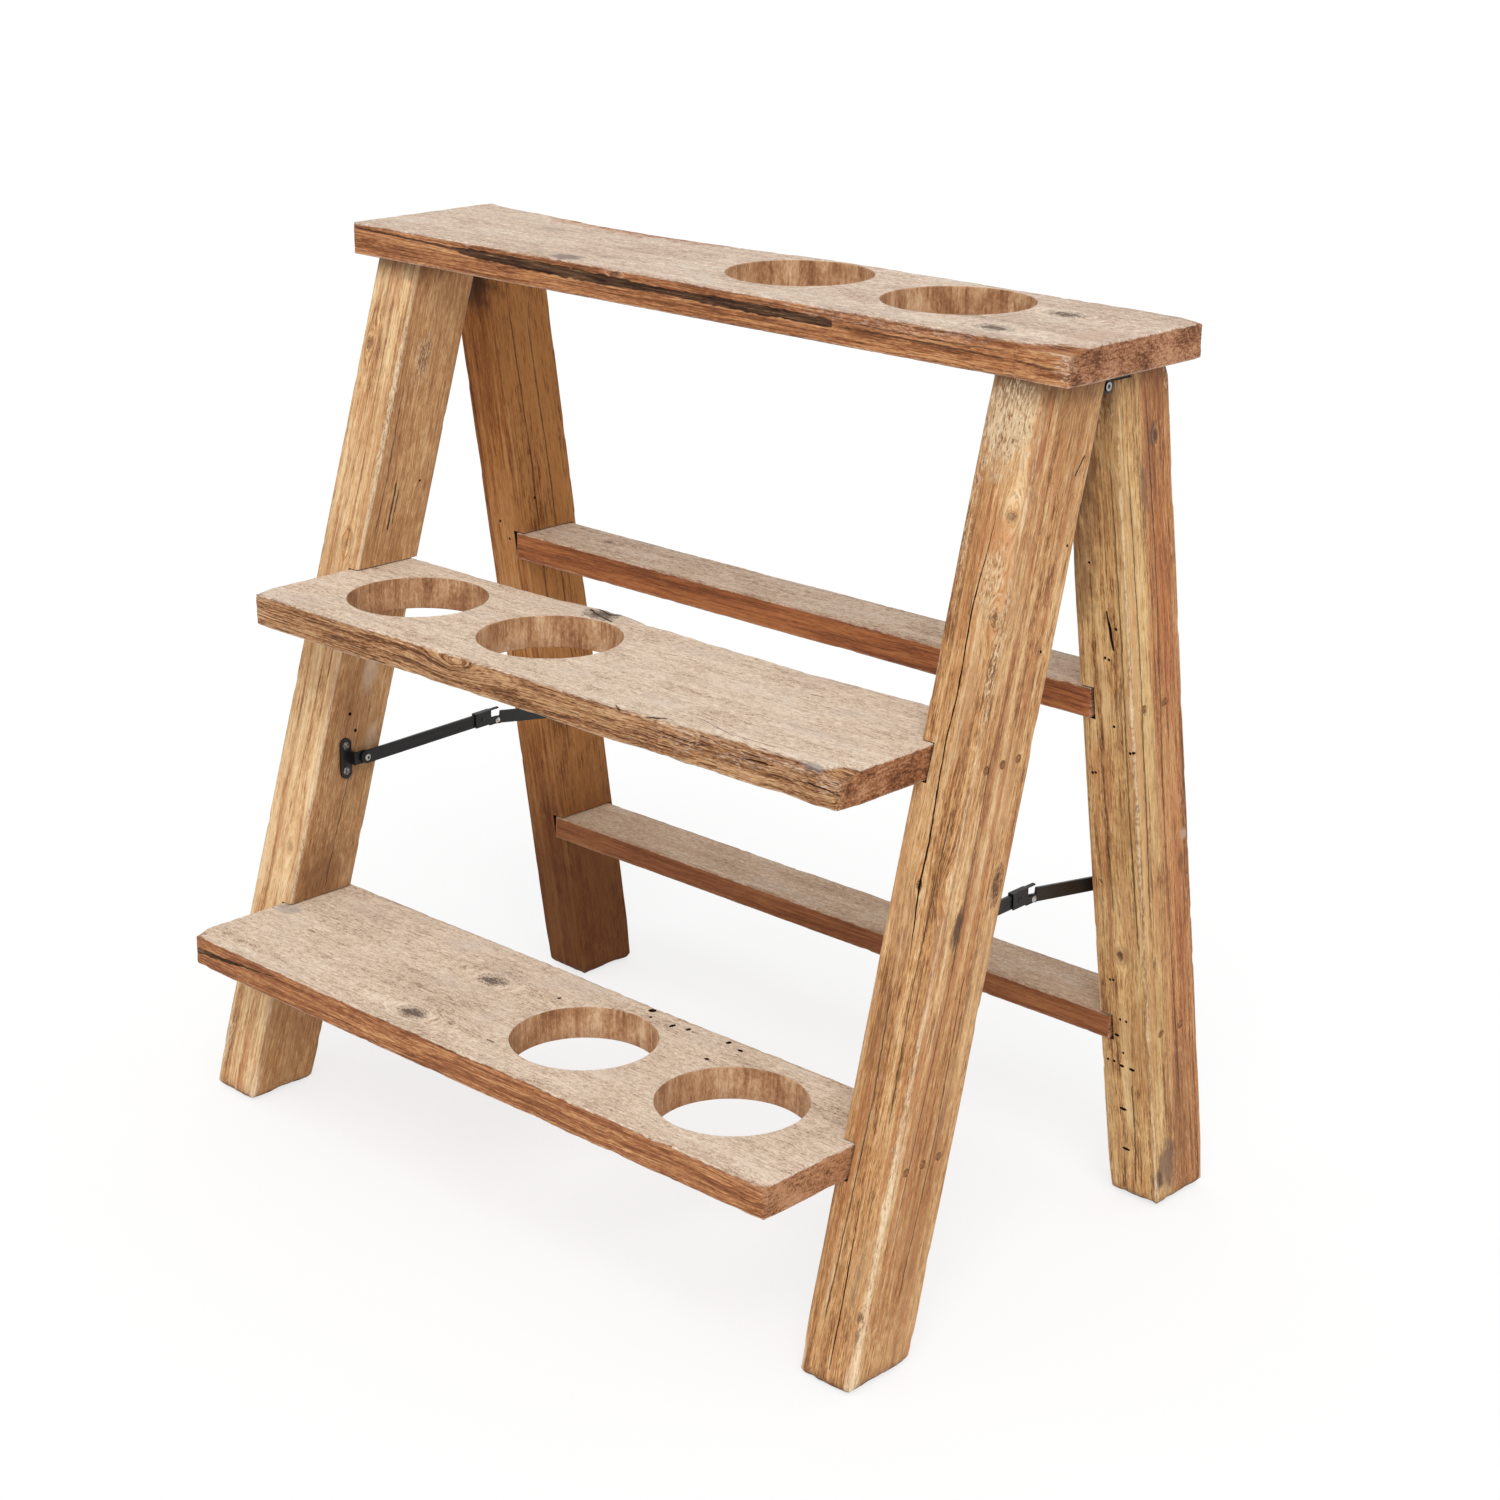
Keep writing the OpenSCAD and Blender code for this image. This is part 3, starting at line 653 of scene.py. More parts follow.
def done(piece, body, node, angle=38.0):
    """Gives a finished piece its shading and body, and hides the CAD node that it stands in for."""
    alone(piece)
    bpy.ops.object.shade_smooth_by_angle(angle=math.radians(angle))
    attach(piece, body)
    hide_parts(node)


# ======================================================================
# Finishes
# ======================================================================

def mark_knots(f, p, colour, height, knots, wobble, dark, pale):
    """Paints knots: a dark heart, a ring round it and a pale rim."""
    for at, size, strength in knots:
        d = f.away(p, at, size) + (wobble - 0.5) * 1.3
        fleck = f.noise(p, (1.0, 1.0, 2.2), 3, 0.65, at[2])
        colour = f.mix(abs(d - 1.15).between(0.3, 0.04) * (0.25 * strength), colour, pale)
        colour = f.mix(
            abs(d - 0.88).between(0.16, 0.04) * fleck.between(0.42, 0.55) * (0.7 * strength), colour, dark)
        colour = f.mix(d.between(0.85, 0.4) * fleck.between(0.3, 0.5) * (0.9 * strength), colour, dark)
        colour = f.mix(d.between(0.9, 0.6) * fleck.between(0.62, 0.68) * (0.6 * strength), colour, pale)
        height = height - d.between(0.75, 0.4) * (0.8 * strength)
    return colour, height


def mark_blots(f, p, colour, blots, wobble):
    """Paints soft stains and painted shade: centre, half sizes, colour and strength."""
    for at, size, stain_and_shade, strength in blots:
        d = f.away(p, at, size) + (wobble - 0.5) * 1.2
        colour = f.mix(d.between(1.05, 0.45 if max(size) < 50 else 0.1) * strength, colour, stain_and_shade)
    return colour


def mark_lines(f, p, colour, height, lines, wobble, dark):
    """Paints fine cracks along the grain, each with its face and a path along and across the grain."""
    parts = f.split(p)
    for axis, level, path, width, strength in lines:
        across, through, along = parts[1 - axis], parts[axis], parts[2]
        path = sorted(path)
        start, end = path[0][0], path[-1][0]
        low = min(q[1] for q in path) - 1.0
        high = max(q[1] for q in path) + 1.0
        share = (along - start) / (end - start)
        line = f.curve(share, [((q[0] - start) / (end - start), (q[1] - low) / (high - low)) for q in path])
        off = abs(across - (line * (high - low) + low) + (wobble - 0.5) * 2.4)
        inside = (share * (1 - share)).between(0.0, 0.06)
        mask = off.between(width, width * 0.35) * inside * abs(through - level).between(3.5, 1.5) * strength
        colour = f.mix(mask, colour, dark)
        height = height - mask * 1.2
    return colour, height


def mark_scars(f, flow, p, colour, height, scars, wobble, pale, dark, seed):
    """Roughens torn places: pale and dark flecks along the grain, and deep tool marks."""
    if not scars:
        return colour, height
    fleck = f.noise(flow, (1.1, 1.1, 5), 3, 0.65, seed + 61)
    for at, size, strength in scars:
        inside = (f.away(p, at, size) + (wobble - 0.5) * 1.6).between(1.1, 0.5) * strength
        colour = f.mix(inside * fleck.between(0.5, 0.6), colour, pale)
        colour = f.mix(inside * fleck.between(0.46, 0.38), colour, dark)
        height = height + inside * (fleck - 0.5) * 1.5
    return colour, height


def board_finish(name, place, half, tones, knots=(), blots=(), lines=(), scars=(), seed=0.0, harsh=1.0):
    """Weathered board: a pale, dry, pinkish top over a red-brown core that shows on its edges and ends."""
    f = Finish(name)
    p = f.place(place)
    across, through, along = f.split(p)
    flow = f.flow(p, 9.0, knots, seed)
    fibre = f.noise(flow, (1.5, 1.5, 30), 4, 0.62, seed)
    dash = f.noise(flow, (0.8, 0.8, 6.5), 3, 0.62, seed + 3)
    band = f.noise(flow, (8, 6, 150), 3, 0.55, seed + 7)
    felt = f.noise(flow, (2.4, 2.4, 5), 4, 0.68, seed + 11)
    line = f.noise(flow, (2.2, 1.15, 70), 4, 0.62, seed + 29)
    cloud = f.noise(p, (26, 20, 55), 3, 0.6, seed + 23)
    wobble = f.noise(p, (4, 4, 9), 3, 0.6, seed + 13)
    bare = f.attribute("bare")

    # the dry top
    grit = f.noise(p, (0.9, 0.9, 1.7), 3, 0.6, seed + 47)
    grain = f.blend((fibre, 0.45), (dash, 0.75), (band, 0.35), (felt, 0.85), (grit, 0.8), (cloud, 0.45))
    top = f.ramp(
        grain,
        [(0.16, tones["top_deep"]), (0.36, tones["top_dark"]), (0.5, tones["top"]),
         (0.64, tones["top_pale"]), (0.84, tones["top_white"])])
    stroke = f.noise(flow, (0.75, 0.75, 9), 2, 0.55, seed + 19)
    top = f.mix(stroke.between(0.64, 0.73) * 0.45, top, tones["streak"])
    top = f.mix(stroke.between(0.36, 0.29) * 0.4, top, tones["top_white"])
    speck = f.noise(p, (1.5, 1.5, 2.0), 2, 0.5, seed + 43)
    top = f.mix(speck.between(0.72, 0.76) * cloud.between(0.45, 0.6) * 0.75, top, tones["streak"])
    top = f.mix(cloud.between(0.54, 0.7) * 0.25, top, tones["grey"])

    # the red-brown edges
    core_grain = f.blend((line, 1.1 * harsh), (fibre, 0.6), (dash, 0.7 * harsh), (band, 0.7))
    core = f.ramp(
        core_grain,
        [(0.14, tones["edge_deep"]), (0.36, tones["edge_dark"]), (0.5, tones["edge"]),
         (0.64, tones["edge_pale"]), (0.86, tones["gold"])])
    core = f.mix(line.between(0.6, 0.68) * (0.6 * harsh), core, tones["edge_deep"])

    # the ends, sawn across the grain
    mottle = f.noise(p, (1.5, 1.5, 1.5), 4, 0.68, seed + 37)
    slant = f.noise(p, (5, 1.2, 3), 3, 0.6, seed + 41)
    ring_x, ring_y = across + 34, through + 70
    radius = (ring_x * ring_x + ring_y * ring_y).root()
    rings = ((radius + (cloud - 0.5) * 14) * 1.3).sine() * 0.5 + 0.5
    ends = f.ramp(
        f.blend((mottle, 0.9), (slant, 0.7), (cloud, 0.8), (rings, 0.06)),
        [(0.2, tones["edge_deep"]), (0.38, tones["end_dark"]), (0.52, tones["end"]),
         (0.72, tones["end_pale"])])
    core = f.mix(abs(along).between(half[2] - 2.2, half[2] - 0.9), core, ends)

    # how far the dry skin reaches over the arrises
    skin = (abs(through) + (wobble - 0.5) * 2.4 + (dash - 0.5) * 1.6).between(half[1] - 2.0, half[1] - 0.9)
    skin = skin * (1 - through.between(0.0, -1.0) * 0.6)
    colour = f.mix(skin, core, top)
    rub = (bare * (0.4 + (dash - 0.5) * 3.0 + (band - 0.5) * 2.4)).held()
    colour = f.mix(rub * 0.6, colour, tones["rubbed"])
    rim = rub.between(0.02, 0.15) * (1 - rub.between(0.15, 0.35))
    colour = f.mix(rim * 0.4, colour, tones["edge_dark"])
    height = f.blend((fibre, 0.35), (dash, 0.5), (felt, 0.35), (line, 0.6 * harsh))
    height = height - stroke.between(0.62, 0.71) * 0.1
    colour = mark_blots(f, p, colour, blots, wobble)
    colour, height = mark_scars(
        f, flow, p, colour, height, scars, wobble, tones["top_white"], tones["streak"], seed)
    colour, height = mark_knots(f, p, colour, height, knots, wobble, tones["knot"], tones["top_pale"])
    colour, height = mark_lines(f, p, colour, height, lines, wobble, tones["crack"])
    return f.surface(colour, 0.76 + (fibre - 0.5) * 0.3, height, 1.8, 0.8, Specular_IOR_Level=0.22)


def bored_finish(name, place, seed=0.0):
    """The wall of a pot hole: vertical tool marks, browner where the cutter burned it."""
    f = Finish(name)
    p = f.place(place)
    _, through, _ = f.split(p)
    marks = f.noise(p, (3.4, 50, 3.4), 3, 0.6, seed)
    wide = f.noise(p, (17, 30, 17), 3, 0.55, seed + 5)
    fine = f.noise(p, (1.0, 4, 3), 4, 0.65, seed + 9)
    colour = f.ramp(f.blend((marks, 0.5), (wide, 0.7), (fine, 0.6)), [
        (0.22, (112, 72, 46)), (0.4, (152, 108, 74)), (0.53, (180, 138, 100)), (0.72, (212, 178, 144))])
    burn = (through * -1 + (wide - 0.5) * 22 + (marks - 0.5) * 6).between(2.0, 12.0)
    colour = f.mix(burn * 0.3, colour, (124, 82, 52))
    return f.surface(
        colour, 0.72 + (marks - 0.5) * 0.3, marks * 0.5 + fine * 0.5, 0.8, 0.6, Specular_IOR_Level=0.25)


def split_finish():
    """The inside of an open crack: dusty brown, made darker still as painted shade of the narrow recess."""
    f = Finish("split_wood")
    p = f.place()
    dust = f.noise(p, (3, 3, 3), 3, 0.6)
    colour = f.ramp(dust, [(0.35, (30, 19, 12)), (0.6, (56, 36, 24)), (0.8, (92, 66, 46))])
    return f.surface(colour, 0.9 + (dust - 0.5) * 0.2, dust, 0.3, 0.5, Specular_IOR_Level=0.1)


def groove_finish(name, place):
    """The inside of a wide, shallow split: old brown fibres."""
    f = Finish(name)
    p = f.place(place)
    fibre = f.noise(p, (1.0, 1.0, 26), 4, 0.65)
    patch = f.noise(p, (4, 4, 40), 3, 0.55, 5.0)
    colour = f.ramp(f.blend((fibre, 1.0), (patch, 0.7)), [
        (0.25, (44, 28, 20)), (0.45, (82, 57, 42)), (0.6, (112, 82, 60)), (0.8, (190, 150, 112))])
    return f.surface(colour, 0.85 + (fibre - 0.5) * 0.2, fibre, 1.2, 0.8, Specular_IOR_Level=0.12)


def stile_finish(kind, side, tones, knots=(), blots=(), lines=(), scars=(), seed=0.0, heart=None, inner=None,
                 darker_below=None, harsh=1.0, sheen=0.28):
    """Brushed stile timber: honey streaks, darker pores, red heartwood and pale worn arrises."""
    f = Finish(f"{stile_node(kind, side)}_timber")
    place, width = stile_place(kind, side), kind["width"]
    p = f.place(place)
    across, through, along = f.split(p)
    flow = f.flow(p, 8.0, knots, seed)
    groove = f.noise(flow, (2.0, 2.0, 85), 4, 0.62, seed)
    fibre = f.noise(flow, (1.0, 1.0, 24), 4, 0.62, seed + 3)
    dash = f.noise(flow, (0.8, 0.8, 5.5), 3, 0.62, seed + 5)
    band = f.noise(flow, (7, 7, 230), 3, 0.55, seed + 7)
    figure = f.noise(flow, (5, 5, 12), 3, 0.6, seed + 11)
    slow = f.noise(p, (34, 34, 110), 2, 0.5, seed + 17)
    wobble = f.noise(p, (4, 4, 9), 3, 0.6, seed + 13)
    bare = f.attribute("bare")

    grain = f.blend(
        (groove, 0.85 * harsh), (fibre, 0.65), (dash, 0.75 * harsh), (band, 0.9), (figure, 0.5 * harsh))
    colour = f.ramp(
        grain,
        [(0.12, tones["deep"]), (0.3, tones["dark"]), (0.41, tones["brown"]), (0.52, tones["honey"]),
         (0.66, tones["pale"]), (0.86, tones["rubbed"])])
    colour = f.mix(slow.between(0.52, 0.66) * 0.35, colour, tones["pale"])
    colour = f.mix(slow.between(0.49, 0.36) * 0.45, colour, tones["brown"])
    red = f.noise(flow, (8, 8, 190), 3, 0.55, seed + 41).between(0.53, 0.64)
    colour = f.mix(red * 0.5, colour, tones["red"])
    if heart:
        a, b, c, reach = heart
        core = (across * a + through * b + (band - 0.5) * 14 + c).between(0.0, reach)
        hue = f.ramp(
            f.blend((groove, 0.9), (fibre, 0.6), (dash, 0.6), (band, 0.9)),
            [(0.14, tones["deep"]), (0.34, tones["heart_dark"]), (0.5, tones["heart"]),
             (0.68, tones["heart_pale"])])
        colour = f.mix(core * 0.92, colour, hue)
    if inner:
        shade, strength = inner
        face = (across * -side).between(width / 2 - 2.5, width / 2 - 0.6)
        hue = f.ramp(
            f.blend((groove, 0.8 * harsh), (fibre, 0.7), (figure, 0.7 * harsh), (dash, 0.7 * harsh),
                (slow, 0.5)),
            [(0.12, tones["deep"]), (0.3, tones["dark"]), (0.5, shade), (0.74, tones["honey"])])
        colour = f.mix(face * strength, colour, hue)
    colour = f.mix(groove.between(0.6, 0.67) * (0.55 * harsh), colour, tones["pore"])
    stroke = f.noise(flow, (0.75, 0.75, 11), 2, 0.55, seed + 23)
    colour = f.mix(stroke.between(0.62, 0.7) * (0.55 * harsh * harsh), colour, tones["pore"])
    colour = f.mix(stroke.between(0.38, 0.3) * 0.5, colour, tones["rubbed"])
    colour = mark_blots(f, p, colour, blots, wobble)
    # darker close under the board: painted shade with some soiling; handling and soiling darken it round the
    # foot
    row = place[2]
    level = across * row[0] + through * row[1] + along * row[2] + row[3] * 1000
    under_board_shade_and_soil = (level + (wobble - 0.5) * 22 + (band - 0.5) * 10).between(634, 652)
    scuff = (level + (wobble - 0.5) * 16).between(15, 1)
    sole = (level + (wobble - 0.5) * 5).between(6.0, 2.5)
    # painted shade with some soiling, close under the board
    colour = f.mix(under_board_shade_and_soil * 0.6, colour, tones["deep"])
    colour = f.mix(scuff * 0.5, colour, tones["dark"])
    colour = f.mix(sole * 0.75, colour, tones["deep"])
    rub = (bare * (0.7 + (dash - 0.5) * 1.2 + (fibre - 0.5) * 1.8 + (band - 0.5) * 2.6)).held()
    colour = f.mix(rub * 0.85, colour, tones["worn"])
    colour = f.mix(rub.between(0.02, 0.12) * (1 - rub.between(0.12, 0.3)) * 0.35, colour, tones["dark"])
    # darker along the grain towards the foot, between two places
    if darker_below:
        start, end, strength = darker_below
        lower_darkening = (along + (wobble - 0.5) * 60 + (band - 0.5) * 80).between(start, end)
        colour = f.mix(lower_darkening * strength, colour, tones["deep"])
    height = f.blend((groove, 0.7), (fibre, 0.35), (dash, 0.5), (figure, 0.3))
    height = height - stroke.between(0.62, 0.7) * 0.1
    colour, height = mark_scars(f, flow, p, colour, height, scars, wobble, tones["worn"], tones["dark"], seed)
    colour, height = mark_knots(f, p, colour, height, knots, wobble, tones["knot"], tones["pale"])
    colour, height = mark_lines(f, p, colour, height, lines, wobble, tones["crack"])
    return f.surface(colour, 0.68 + (fibre - 0.5) * 0.35, height, 2.2, 0.85, Specular_IOR_Level=sheen)


def black_steel_finish(metals):
    """Satin black steel with a little dust and faint rubbing."""
    f = Finish("black_steel_satin")
    p = f.place()
    dust = f.noise(p, (9, 9, 9), 4, 0.6)
    scuff = f.noise(p, (0.9, 6, 0.9), 3, 0.6, 5.0)
    colour = f.mix(dust.between(0.55, 0.72) * 0.25, tuple(metals.black), (46, 44, 42))
    colour = f.mix(scuff.between(0.66, 0.74) * 0.3, colour, (80, 76, 72))
    return f.surface(colour, 0.45 + (dust - 0.5) * 0.4, scuff, 0.3, 0.4, Specular_IOR_Level=0.4)


def bright_steel_finish(metals):
    """Zinc plated steel, slightly dulled."""
    f = Finish("bright_steel_dulled")
    p = f.place()
    cloud = f.noise(p, (2.5, 2.5, 2.5), 4, 0.6)
    colour = f.ramp(cloud, [(0.35, (120, 116, 110)), (0.5, tuple(metals.bright)), (0.68, (226, 224, 220))])
    return f.surface(colour, 0.34 + (cloud - 0.5) * 0.5, cloud, 0.1, 0.3, Metallic=0.9)


def highlight_ring_finish(name, metals, axis, inner, outer):
    """A riveted end: a painted highlight, a bright ring round a dark middle, in the plane across an axis that
    runs along X.
    """
    f = Finish(name)
    p = f.place(Matrix.Translation(axis))
    _, y, z = f.split(p)
    off = (y * y + z * z).root()
    # the bright ring is a painted highlight
    ring = off.between(inner - 0.25, inner + 0.25) * (1 - off.between(outer - 0.2, outer + 0.2))
    cloud = f.noise(p, (1.2, 1.2, 1.2), 3, 0.6)
    colour = f.mix(ring * (0.85 + (cloud - 0.5)), tuple(metals.black), tuple(metals.bright))
    return f.surface(colour, 0.4 + (cloud - 0.5) * 0.4, cloud, 0.2, 0.4, Metallic=0.3)


def nail_finish(metals):
    """Old round nails: rust brown, as dusty as the timber round them."""
    f = Finish("rusty_nail")
    p = f.place()
    rust = f.noise(p, (1.6, 1.6, 1.6), 4, 0.65)
    colour = f.ramp(rust, [(0.35, tuple(metals.nail)), (0.52, (138, 94, 58)), (0.7, (170, 124, 80))])
    return f.surface(colour, 0.72 + (rust - 0.5) * 0.4, rust, 0.6, 0.7, Specular_IOR_Level=0.3)


def bracket_screw_finish():
    """Round headed screws, blackened and rubbed grey."""
    f = Finish("blackened_screw")
    p = f.place()
    rub = f.noise(p, (1.6, 1.6, 1.6), 3, 0.6)
    colour = f.ramp(rub, [(0.36, (52, 49, 46)), (0.5, (116, 110, 103)), (0.66, (174, 167, 158))])
    return f.surface(colour, 0.36 + (rub - 0.5) * 0.4, rub, 0.2, 0.4, Metallic=0.6)


def shared(name, make, *given):
    """A finish that several pieces share, made once."""
    return bpy.data.materials.get(name) or make(*given)


# ======================================================================
# What a user may change
# ======================================================================

LENGTH = {"subtype": "DISTANCE", "unit": "LENGTH"}
COLOUR = {"subtype": "COLOR", "size": 4, "min": 0.0, "max": 1.0}


class StandWear(bpy.types.PropertyGroup):
    """How worn the timber is."""
    board_arris: bpy.props.FloatProperty(
        name="Board arris", description="Mean radius of the boards' worn long arrises",
        default=0.0017, min=0.0005, max=0.005, **LENGTH)
    stile_arris: bpy.props.FloatProperty(
        name="Stile arris", description="Mean radius of the stiles' worn long arrises",
        default=0.0019, min=0.0005, max=0.005, **LENGTH)
    foot_round: bpy.props.FloatProperty(
        name="Foot rounding", description="Radius of the worn edge round each foot",
        default=0.0098, min=0.001, max=0.016, **LENGTH)
    relief: bpy.props.FloatProperty(
        name="Grain relief", description="Depth of the brushed grain's waves",
        default=0.00035, min=0.0, max=0.002, **LENGTH)
    hole_chamfer: bpy.props.FloatProperty(
        name="Hole chamfer", description="Width of the eased edge of the pot holes",
        default=0.0007, min=0.0002, max=0.003, **LENGTH)


class StandWood(bpy.types.PropertyGroup):
    """Colours of the timber."""
    board_top: bpy.props.FloatVectorProperty(
        name="Board top", description="Dry upper faces of the boards",
        default=tone(208, 185, 164), **COLOUR)
    board_edge: bpy.props.FloatVectorProperty(
        name="Board edge", description="Red-brown edges of the boards",
        default=tone(164, 107, 68), **COLOUR)
    rung_edge: bpy.props.FloatVectorProperty(
        name="Rung edge", description="Brown edges of the rungs",
        default=tone(156, 93, 55), **COLOUR)
    honey: bpy.props.FloatVectorProperty(
        name="Stile honey", description="Main colour of the stiles",
        default=tone(202, 150, 95), **COLOUR)
    heart: bpy.props.FloatVectorProperty(
        name="Heartwood", description="Red heartwood of the stiles",
        default=tone(186, 118, 70), **COLOUR)


class StandMetal(bpy.types.PropertyGroup):
    """Colours of the metal."""
    black: bpy.props.FloatVectorProperty(
        name="Black steel", description="Stays, brackets and hinges",
        default=tone(13, 13, 14), **COLOUR)
    bright: bpy.props.FloatVectorProperty(
        name="Bright steel", description="Rivets and pins",
        default=tone(190, 188, 183), **COLOUR)
    nail: bpy.props.FloatVectorProperty(
        name="Nails", description="Nail heads",
        default=tone(104, 70, 44), **COLOUR)


class StandStage(bpy.types.PropertyGroup):
    """Floor and light."""
    floor: bpy.props.FloatVectorProperty(
        name="Floor", description="Colour of the floor",
        default=tone(250, 250, 250), **COLOUR)
    sky: bpy.props.FloatProperty(
        name="Sky", description="Strength of the even light from all round", default=0.78, min=0.0, max=3.0)
    key: bpy.props.FloatProperty(
        name="Key", description="Strength of the soft lamp in front, on the right and above",
        default=1.45, min=0.0, max=10.0)


def board_tones(wood):
    """The colours of a weathered board."""
    return {
        "top": tuple(wood.board_top), "top_deep": (140, 112, 92), "top_dark": (190, 165, 145),
        "top_pale": (226, 206, 186), "top_white": (242, 228, 212),
        "streak": (128, 100, 80), "grey": (180, 166, 155),
        "edge": tuple(wood.board_edge), "edge_deep": (84, 50, 30), "edge_dark": (130, 78, 45),
        "edge_pale": (192, 134, 88), "gold": (222, 176, 126), "end": (166, 114, 80),
        "end_dark": (122, 76, 48), "end_pale": (196, 148, 112), "rubbed": (228, 204, 180),
        "knot": (84, 68, 58), "crack": (52, 34, 24),
    }


# The steps' upper faces, a shade paler than the top board's: painted light that makes up for the shade of the
# boards above
LIT_TOPS = {"top": (220, 198, 174), "top_dark": (204, 180, 157), "top_pale": (236, 217, 196)}


def stile_tones(wood):
    """The colours of a brushed stile."""
    return {
        "honey": tuple(wood.honey), "brown": (178, 126, 78), "dark": (128, 82, 46), "deep": (84, 52, 30),
        "pale": (226, 186, 136), "red": (186, 120, 74), "heart": tuple(wood.heart),
        "heart_dark": (138, 78, 44), "heart_pale": (212, 154, 104), "pore": (96, 60, 34),
        "rubbed": (234, 206, 164), "worn": (240, 216, 180), "knot": (84, 54, 38), "crack": (50, 30, 20),
    }


# ======================================================================
# Boards, rungs and stiles
# ======================================================================

def board_place(node):
    """A board's own frame: across towards the back, through upwards, along to the right. Also its half sizes,
    and a function that finds a place on its upper face from x and y in the frame."""
    low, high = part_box(node)
    middle, half = (low + high) / 2, (high - low) / 2 * 1000
    place = Matrix(((0, 0, 1, middle.x), (1, 0, 0, middle.y), (0, 1, 0, middle.z), (0, 0, 0, 1)))
    middle_y = place.translation.y * 1000

    def top(x, y):
        return (y - middle_y, half.z, x)

    return place, (half.y, half.z, half.x), top


def trace(top, *points):
    """A line on a board's upper face through points in x and y, as points along and across the grain."""
    return [(x, top(x, y)[0]) for x, y in points]


def arris_radius(along, base, points, most, amount, seed, key):
    """The radius of a board's upper arris at each point, with chips."""
    radius = follow(along, points) if points else np.full(len(along), base)
    radius = radius * (1 + 0.7 * amount * rough(along / 26.0, seed + key))
    return np.clip(radius + chips(along, seed + key + 40, 9.0, 1.3), 0.5, most)


def board_arrises(at, half, base, radii, corners, seed):
    """Where a board's points lie once its long arrises, upright corners and ends are worn round."""
    hu, hv, hw = half
    new = at.copy()
    along = at[:, 2]
    front_top = arris_radius(along, base, radii[0], hv * 0.9, 0.45, seed, 1)
    back_top = arris_radius(along, base, radii[1], hv * 0.9, 0.45, seed, 2)
    under = base * 0.9 * (1 + 0.35 * rough(along / 30.0, seed + 3))
    under = np.clip(under + chips(along, seed + 44, 12.0, 1.2), 0.4, 5)
    for side, level, radius in ((-1, 1, front_top), (1, 1, back_top), (-1, -1, under), (1, -1, under)):
        round_off(new, 0, 1, side, level, (hu, hv), radius)
    for (end, side), corner in zip(((-1, -1), (1, -1), (-1, 1), (1, 1)), corners):
        soft = np.clip(corner * (1 + 0.2 * rough(at[:, 1] / 9.0, seed + 4 + end + 2 * side)), 0.6, 12)
        round_off(new, 2, 0, end, side, (hw, hu), soft)
    for end, near in ((-1, (corners[0], corners[2])), (1, (corners[1], corners[3]))):
        tip = 1.9 + 0.9 * rough(at[:, 0] / 14.0, seed + 4 + end)
        tip = np.clip(tip + chips(at[:, 0], seed + 50 + end, 11.0, 1.2), 0.6, 5)
        for side, corner in zip((-1, 1), near):
            tip = tip + 0.5 * max(0.0, corner - 2.0) * fade(1 - (hu - side * at[:, 0]) / 20.0)
        round_off(new, 2, 1, end, 1, (hw, hv), tip)
        round_off(new, 2, 1, end, -1, (hw, hv), tip * 0.8)
    return new


def board_bareness(at, new, half, seed):
    """How bare the wood is at each point, from 0 to 1: most along the upper arrises."""
    hu, hv, _ = half
    gone = np.hypot(new[:, 0] - at[:, 0], new[:, 1] - at[:, 1])
    edge_off = np.minimum.reduce([
        np.hypot(hu - s * at[:, 0], hv - t * at[:, 1]) for s in (-1, 1) for t in (-1, 1)])
    patchy = 0.3 + 0.8 * rough(at[:, 2] / 30.0, seed + 8)
    bare = np.clip(fade((2.8 - edge_off) / 2.2) * patchy + gone * 0.3, 0, 1)
    return bare * fade((at[:, 1] / hv + 0.2) / 0.8)


def erode(new, at, half, edges, drops, seed):
    """Eats the long edges away, front and back, and lowers the upper face where it is worn down."""
    hu, hv, _ = half
    along = at[:, 2]
    ledge = rough(np.c_[at[:, 1] / 3.2, along / 46.0], seed + 21, 2)
    for side, points, key in zip((-1, 1), edges, (9, 10)):
        if points:
            bite = follow(along, points)
            bite = bite + 0.7 * np.clip(bite, 0, 1.5) * (rough(along / 11.0, seed + key) + 0.35)
            bite = np.clip(bite + 0.55 * np.clip(bite, 0, 1) * ledge, 0, None)
            near = fade(1 - (hu - side * at[:, 0]) / EDGE_REACH)
            new[:, 0] -= side * bite * near
    for centre, size, drop in drops:
        d = ((at[:, 0] - centre[0]) / size[0]) ** 2 + ((along - centre[1]) / size[1]) ** 2
        new[:, 1] -= drop * np.clip(1 - d, 0, 1) ** 1.2 * fade((at[:, 1] + hv) / (2 * hv) * 1.6)


def worn_board(name, materials, place, half, wear, radii, edges, corners, drops, spots, seed, cells):
    """A board between its faces, with worn arrises, eroded edges and hollows. radii and edges are points
    along the board: the radius of the front and back upper arris, and how far both long edges are eroded.
    corners are the radii of the upright corners: left front, right front, left back, right back."""
    piece = block(name, place, [-h for h in half], half)
    ease_edges(piece, BOARD_BEVEL)
    grid(piece, place, *cells)
    clad(piece, materials)
    at = places(piece, place)
    new = board_arrises(at, half, wear.board_arris * 1000, radii, corners, seed)
    bare = board_bareness(at, new, half, seed)
    erode(new, at, half, edges, drops, seed)
    shift(piece, place, new - at)
    store(piece, "bare", bare)
    at = places(piece, place)
    press(piece, wear.relief * 1000 * waves(at, 7.0, 75.0, seed + 30) + dents(at, spots))
    return piece


